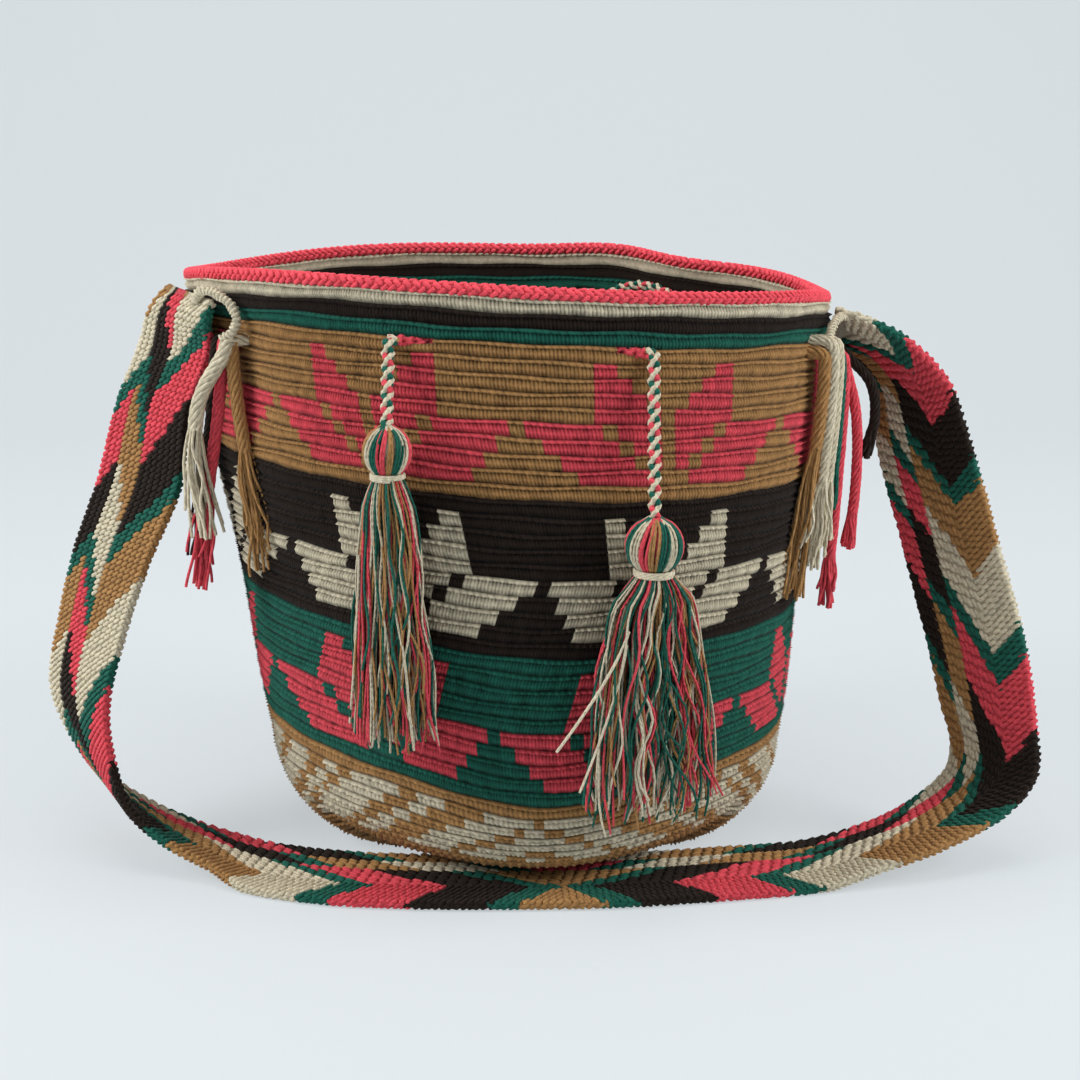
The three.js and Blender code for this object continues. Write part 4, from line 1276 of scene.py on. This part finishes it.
def edging_core():
    """The round core of the edging, along the rim, darkened with painted shade where it shows between the
    stitches.
    """
    core = wall_point(np.linspace(0, 360, 361), -EDGING_HEIGHT / ROW_PITCH, -WALL_THICKNESS / 2)
    return yarn_piece("edging_core", [(core, EDGING_RADIUS, PINK, -2.0)], PLY_YARN, 8)


def edging_stitches():
    """Lines of slanting pink stitches worked over the core."""
    rng = np.random.default_rng(3)
    points, lies, outs = [], [], []
    for k, (turned, slant) in enumerate(EDGING_LINES):
        out = EDGING_RADIUS * math.cos(math.radians(turned)) - WALL_THICKNESS / 2
        height = EDGING_RADIUS * math.sin(math.radians(turned)) + EDGING_HEIGHT
        step = np.arange(EDGING_STITCHES) + 0.5 * (k % 2) + rng.uniform(-0.15, 0.15, EDGING_STITCHES)
        angle = 360 * step / EDGING_STITCHES
        here = wall_point(angle, -height / ROW_PITCH, out)
        along = unit(wall_point(angle + 0.5, -height / ROW_PITCH, out) - here)
        away = here - wall_point(angle, -EDGING_HEIGHT / ROW_PITCH, -WALL_THICKNESS / 2)
        away = unit(away - along * np.sum(away * along, 1, keepdims=True))
        lean = math.radians(slant)
        points.append(here)
        lies.append(along * math.cos(lean) + np.cross(away, along) * math.sin(lean))
        outs.append(away)
    count = len(EDGING_LINES) * EDGING_STITCHES
    return lay_floats("edging_stitches", np.vstack(points), lies, outs, np.full(count, PINK),
                      rng.uniform(0, 2.5, count), length=EDGING_STITCH_LENGTH * MM)


for piece in (edging_core(), edging_stitches()):
    dress(piece, "bag", "rim_edging")


# Shoulder strap

# Where each end of the strap meets the wall: angle, rows below the rim, distance out from the wall, rows by
# which its edges differ in height, and how far its first stretch reaches out and falls
LEFT_STRAP_END = (-65.0, 1.2, 2.9, 0.4, 5.0, 8.0)
RIGHT_STRAP_END = (86.0, 2.3, 0.7, 1.6, 8.0, 3.0)
STRAP_END_HALF_ANGLE = 9.0
# Places down each leg: shares of the spread, of the wall's height and of the way to the floor line, then the
# band's twist about the upright and the fall of its rear edge
LEFT_LEG = (
    (0.27, 0.885, 0.435, 47, 0), (0.416, 0.779, 0.402, 48, 0), (0.516, 0.649, 0.391, 55, 0),
    (0.692, 0.519, 0.391, 51, 0), (0.825, 0.39, 0.402, 46, 0), (0.89, 0.273, 0.49, 42, 0),
    (0.81, 0.183, 0.56, 34, 0), (0.67, 0.112, 0.62, 26, 0), (0.44, 0.063, 0.67, 20, 0),
    (0.15, 0.03, 0.74, 16, 0),
)
RIGHT_LEG = (
    (0.34, 0.865, 0.1, 16, 20), (0.52, 0.803, 0.1, 31, 12), (0.59, 0.73, 0.12, 42, 4),
    (0.65, 0.655, 0.163, 48, 0), (0.74, 0.55, 0.24, 48, 0), (0.9, 0.357, 0.38, 48, 0),
    (0.97, 0.234, 0.46, 42, 0), (1.0, 0.156, 0.51, 34, 0), (0.91, 0.108, 0.56, 22, 0),
    (0.58, 0.06, 0.69, 6, 0), (0.24, 0.031, 0.78, -4, 0),
)
# Places on the floor: shares of the belly's radius aside and of the way to the floor line
FLOOR_RUN = ((-0.9, 0.85), (-0.63, 0.96), (-0.32, 1.0), (0.07, 1.0), (0.33, 0.98), (0.66, 0.915),
             (0.96, 0.835))
STRAP_SAMPLES = 3000


def strap_leg(side, places):
    """Stops down one leg of the strap and the direction of its width at each."""
    stops, widths = [], []
    for spread, height, forward, twist, drop in places:
        x = side * (BELLY_RADIUS + STRAP_SPREAD * spread)
        turn, fall = math.radians(twist), math.radians(drop)
        stops.append(np.array([x, STRAP_FLOOR_Y * forward, WALL_HEIGHT * height]))
        level = math.cos(fall)
        widths.append(np.array([-math.sin(turn) * level, math.cos(turn) * level, -math.sin(fall)]))
    return stops, widths


def strap_end(side, place, leg_width):
    """One end of the strap: its edge lies along the wall, then it leans out and down towards its leg."""
    angle, rows, out, slant, reach, fall = place
    end = wall_point(angle, rows, out)
    ahead = wall_point(angle + STRAP_END_HALF_ANGLE, rows + slant, 0.0)
    width = side * unit(ahead - wall_point(angle - STRAP_END_HALF_ANGLE, rows - slant, 0.0))
    outwards = side * unit(np.array([width[1], -width[0], 0.0]))
    return [end, end + outwards * reach - UP * fall], [width, unit(width + leg_width)]


def strap_route():
    """Stops of the strap's middle line and the direction of its width at each."""
    points, widths = [], []
    for side, place, leg in ((-1, LEFT_STRAP_END, LEFT_LEG), (1, RIGHT_STRAP_END, RIGHT_LEG)):
        stops, across = strap_leg(side, leg)
        first, first_across = strap_end(side, place, across[0])
        points.append(first + stops)
        widths.append(first_across + across)
    floor = [np.array([a * BELLY_RADIUS, f * STRAP_FLOOR_Y, STRAP_THICKNESS / 2]) for a, f in FLOOR_RUN]
    level = [-FORWARD] * len(floor)
    return points[0] + floor + points[1][::-1], widths[0] + level + widths[1][::-1]


def strap_lines(step):
    """The strap's middle line at even steps, with its way, width, outer side and length so far."""
    points, widths = strap_route()
    fine = smooth_line(points, STRAP_SAMPLES)
    length = length_along(fine)
    at = np.linspace(0, length[-1], int(length[-1] / step) + 1)
    line = at_lengths(fine, length, at)
    width = unit(at_lengths(smooth_line(widths, STRAP_SAMPLES), length, at))
    way = unit(np.gradient(line, axis=0))
    return line, way, width, unit(np.cross(width, way)), at


# Stripes of one repeat, with their widths along the strap
STRIPES = ((TAN, 34.0), (GREEN, 12.0), (BROWN, 31.0), (PINK, 30.0), (GREEN, 13.0), (CREAM, 33.0))
# From the left end to the middle of the pattern, on the floor in front
STRAP_MIDDLE = 410.9
FRONT_SLOPE = 1.4
# The rear half is a chevron of its own: its peak's distance from the middle, the slopes to the edge and to
# the middle, and how far its two sides lag behind the front half
REAR_PEAK = 12.0
REAR_EDGE_SLOPE = 1.6
REAR_MIDDLE_SLOPE = 2.5
REAR_LAG = 46.0
REAR_SHIFT = -73.5
# From this length on the inner face is the one in sight
TURNED_FROM = 235.0
# Towards the right end the weave has drawn together, from this distance from the middle
DRAWN_FROM = 289.0
DRAWN = 1.29
# Strips of the inner face: where each begins from the front edge, its stripes' place there and their slope
INNER_STRIPS = ((0.0, 0.0, 1.1), (15.0, 16.5, -2.2), (30.0, 81.3, -2.2), (38.0, 108.8, -2.2))


def stripe_yarn(along, across, inner):
    """The strap's slanting stripes. Outside, one slope in the front half and a chevron in the rear half."""
    ends = np.cumsum([width for _, width in STRIPES])
    place = np.abs(along - STRAP_MIDDLE) + STRIPES[0][1] / 2
    place = place + (DRAWN - 1) * np.maximum(along - STRAP_MIDDLE - DRAWN_FROM, 0)
    edge = STRAP_WIDTH / 2 - np.abs(across)
    peak = STRAP_WIDTH / 2 - REAR_PEAK
    to_edge = REAR_LAG - REAR_EDGE_SLOPE * edge
    to_middle = REAR_LAG - REAR_EDGE_SLOPE * peak + REAR_SHIFT + REAR_MIDDLE_SLOPE * (REAR_PEAK - across)
    rear = np.where(across > REAR_PEAK, to_edge, to_middle)
    outside = np.where(across > 0, rear, FRONT_SLOPE * edge)
    inside = np.zeros_like(outside)
    for start, first, slope in INNER_STRIPS:
        reach = across + STRAP_WIDTH / 2 - start
        inside = np.where(reach >= 0, first + slope * reach, inside)
    place = (place + np.where(inner, inside, outside)) % ends[-1]
    yarns = np.array([yarn for yarn, _ in STRIPES])
    return yarns[np.minimum(np.searchsorted(ends, place, side="right"), len(yarns) - 1)]


# The band lies under the floats and plaits: its edges and faces are set in by so much
BAND_EDGE_INSET = 2.0
BAND_FACE_INSET = 1.0
BAND_ROUNDING = 1.0
BAND_STEP = 2.5
BAND_PLACES = 16
# Painted shade on the band, which shows only in the gaps between the floats
BAND_PAINTED_SHADE = -5.0
# Lines of floats on the outer and the inner face: where they begin from the front edge, how many, how far
# apart, the step along a line and the floats' tilt
OUTER_FLOATS = ((0.7, 14, 3.26, 2.6, 33.0),)
INNER_FLOATS = ((0.7, 5, 3.0, 2.6, 33.0), (15.3, 15, 2.06, 4.4, -65.0))
FLOAT_INSET = 0.95
FLOAT_END_GAP = 2.0
# Where the step is longer than this, every other line is moved along by so much
LONG_STEP = 3.0
LONG_STEP_SHIFT = 0.5
STRAP_FINE_STEP = 0.5
# The lowest that the middles of floats and plaits and the band's own faces lie above the floor
FLOAT_REST = 1.2
PLAIT_REST = 1.0
BAND_REST = 0.7
PLAIT_YARNS = 3
PLAIT_PITCH = 11.0
PLAIT_INSET = 2.1
PLAIT_YARN = 1.1
PLAIT_SWING, PLAIT_LIFT = 0.9, 0.7


def strap_band():
    """The flat band under the floats, with rounded edges and painted shade, and its length."""
    line, _, width, outer, at = strap_lines(BAND_STEP)
    half, thick = STRAP_WIDTH / 2 - BAND_EDGE_INSET, STRAP_THICKNESS / 2 - BAND_FACE_INSET
    places = np.linspace(-half, half, BAND_PLACES)
    ring = [(-half - BAND_ROUNDING, 0), *((a, thick) for a in places)]
    ring += [(half + BAND_ROUNDING, 0), *((a, -thick) for a in places[::-1])]
    points = np.stack([line + width * a + outer * b for a, b in ring], 1)
    points[..., 2] = np.maximum(points[..., 2], BAND_REST)
    count = len(ring)
    index = np.arange(len(line) * count).reshape(-1, count)
    turned = np.roll(index, -1, 1)
    quads = np.stack([index[:-1], turned[:-1], turned[1:], index[1:]], -1).reshape(-1, 4)
    mesh = mesh_of("strap_band", points.reshape(-1, 3), [quads, [index[0][::-1], index[-1]]])
    ring = np.array(ring)
    across, out = ((ring + np.roll(ring, -1, 0)) / 2).T
    middle = (at[1:] + at[:-1]) / 2
    steps = len(middle)
    yarn = stripe_yarn(np.repeat(middle, count), np.tile(across, steps), np.tile(out < 0, steps))
    write(mesh, "FACE", yarn=[*yarn, TAN, CREAM], shade=np.full(len(mesh.polygons), BAND_PAINTED_SHADE))
    turn_outward(mesh)
    mesh.shade_smooth()
    mesh.materials.append(STRAP_YARN)
    return piece_of(mesh), at[-1]


def strap_floats(name, side, strips):
    """The short slanting floats on one face of the strap."""
    line, way, width, outer, at = strap_lines(STRAP_FINE_STEP)
    total = at[-1]
    rng = np.random.default_rng(7 + side)
    points, lies, outs, yarns = [], [], [], []
    for begin, lines, apart, step, slant in strips:
        tilt = math.radians(slant)
        for k in range(lines):
            across = begin + (k + 0.5) * apart - STRAP_WIDTH / 2
            shift = k * apart * math.tan(math.pi / 2 - abs(tilt)) * 0.5
            shift = shift + LONG_STEP_SHIFT * (k % 2) * (step > LONG_STEP)
            along = np.arange(FLOAT_END_GAP, total - FLOAT_END_GAP - step, step) + shift % step
            index = np.searchsorted(at, np.minimum(along, total - STRAP_FINE_STEP))
            down = np.sign(STRAP_MIDDLE - along)[:, None]
            jitter = rng.uniform(-0.2, 0.2, (len(along), 1))
            out = outer[index] * side
            raised = out * (STRAP_THICKNESS / 2 - FLOAT_INSET)
            points.append(line[index] + width[index] * (across + jitter) + raised)
            lies.append(width[index] * math.cos(tilt) + way[index] * math.sin(tilt) * down)
            outs.append(out)
            yarns.append(stripe_yarn(along, np.full(len(along), across), side < 0))
    places = np.vstack(points)
    places[:, 2] = np.maximum(places[:, 2], FLOAT_REST)
    shade = rng.uniform(-1.2, 1.2, len(places)) - 0.6
    return lay_floats(name, places, lies, outs, np.concatenate(yarns), shade)


def strap_edges():
    """A plait of three yarns along each edge, each yarn changing with the stripes."""
    line, _, width, outer, at = strap_lines(LINE_STEP)
    strands = []
    for half in (-1, 1):
        edge = line + width * half * (STRAP_WIDTH / 2 - PLAIT_INSET)
        yarn = stripe_yarn(at, np.full(len(at), half * (STRAP_WIDTH / 2 - 0.01)), at > TURNED_FROM)
        changes = np.flatnonzero(np.diff(yarn)) + 1
        for k in range(PLAIT_YARNS):
            turn = 2 * math.pi * (at / PLAIT_PITCH + k / PLAIT_YARNS)
            swing, lift = PLAIT_SWING * np.sin(turn), PLAIT_LIFT * np.sin(2 * turn)
            place = edge + width * swing[:, None] + outer * lift[:, None]
            place[:, 2] = np.maximum(place[:, 2], PLAIT_REST)
            for begin, end in zip([0, *changes], [*changes, len(at)]):
                strands.append((place[begin:end + 1], PLAIT_YARN, yarn[begin], 0.3 * k - 0.8))
    return yarn_piece("strap_edge_plaits", strands, PLY_YARN)


band, strap_length = strap_band()
outer_floats = strap_floats("strap_outer_floats", 1, OUTER_FLOATS)
inner_floats = strap_floats("strap_inner_floats", -1, INNER_FLOATS)
plaits = strap_edges()
for piece in (band, outer_floats, inner_floats, plaits):
    dress(piece, "bag", "shoulder_strap")


# Floor, light and background, in metres

PAPER_SHADE = "#dae0e3"
SKY_SHADE = "#dde3e8"
SKY_STRENGTH = 0.42
# Share of the paper's own shade in what the camera sees of it
PAPER_SEEN = 0.68
SWEEP_HALF_WIDTH = 4.0
SWEEP_FRONT = -3.0
SWEEP_BEND_START = 0.9
SWEEP_BEND_RADIUS = 0.9
SWEEP_BEND_STEPS = 12
SWEEP_HEIGHT = 3.2
LAMP_AIM = (0, 0, 0.1)


def paper_material():
    """Pale matt paper that the camera sees a little lighter."""
    material, work, shader = start_material("studio_paper", PAPER_FINISH)
    shade = linear(PAPER_SHADE)
    shader.inputs["Base Color"].default_value = shade
    glow = work.node("ShaderNodeEmission", shade)
    ray = work.node("ShaderNodeLightPath").outputs["Is Camera Ray"]
    blend = work.node("ShaderNodeMixShader", work.math("MULTIPLY", ray, PAPER_SEEN), shader, glow)
    work.fill(material.node_tree.nodes["Material Output"], {"Surface": blend})
    return material


def sweep():
    """A floor that curves up into a backdrop."""
    profile = [(SWEEP_FRONT, 0.0)]
    for k in range(SWEEP_BEND_STEPS + 1):
        turn = math.pi / 2 * k / SWEEP_BEND_STEPS
        back = SWEEP_BEND_START + SWEEP_BEND_RADIUS * math.sin(turn)
        profile.append((back, SWEEP_BEND_RADIUS * (1 - math.cos(turn))))
    profile.append((SWEEP_BEND_START + SWEEP_BEND_RADIUS, SWEEP_HEIGHT))
    sides = (-SWEEP_HALF_WIDTH, SWEEP_HALF_WIDTH)
    points = np.array([(x, y, z) for y, z in profile for x in sides]) / MM
    quads = np.array([(2 * k, 2 * k + 1, 2 * k + 3, 2 * k + 2) for k in range(len(profile) - 1)])
    mesh = mesh_of("studio_sweep", points, [quads])
    mesh.shade_smooth()
    mesh.materials.append(paper_material())
    return piece_of(mesh)


sweep()


def lamp(name, place, size, power):
    """A round lamp that points at the bag."""
    data = bpy.data.lights.new(name, "AREA")
    data.shape = "DISK"
    data.size = size
    data.energy = power
    light = bpy.data.objects.new(name, data)
    light.location = place
    way = np.array(LAMP_AIM) - place
    level = math.hypot(way[0], way[1])
    light.rotation_euler = (math.atan2(level, -way[2]), 0, math.atan2(-way[0], way[1]))
    scene.collection.objects.link(light)


lamp("left", (-1.35, -0.43, 0.95), 0.9, 20)
lamp("right", (1.35, -0.43, 0.95), 0.9, 17)
lamp("top", (0.0, 0.0, 2.0), 1.6, 16)

world = bpy.data.worlds.new("studio")
scene.world = world
world.use_nodes = True
sky = world.node_tree.nodes["Background"]
sky.inputs["Color"].default_value = linear(SKY_SHADE)
sky.inputs["Strength"].default_value = SKY_STRENGTH
scene.view_settings.view_transform = "Standard"
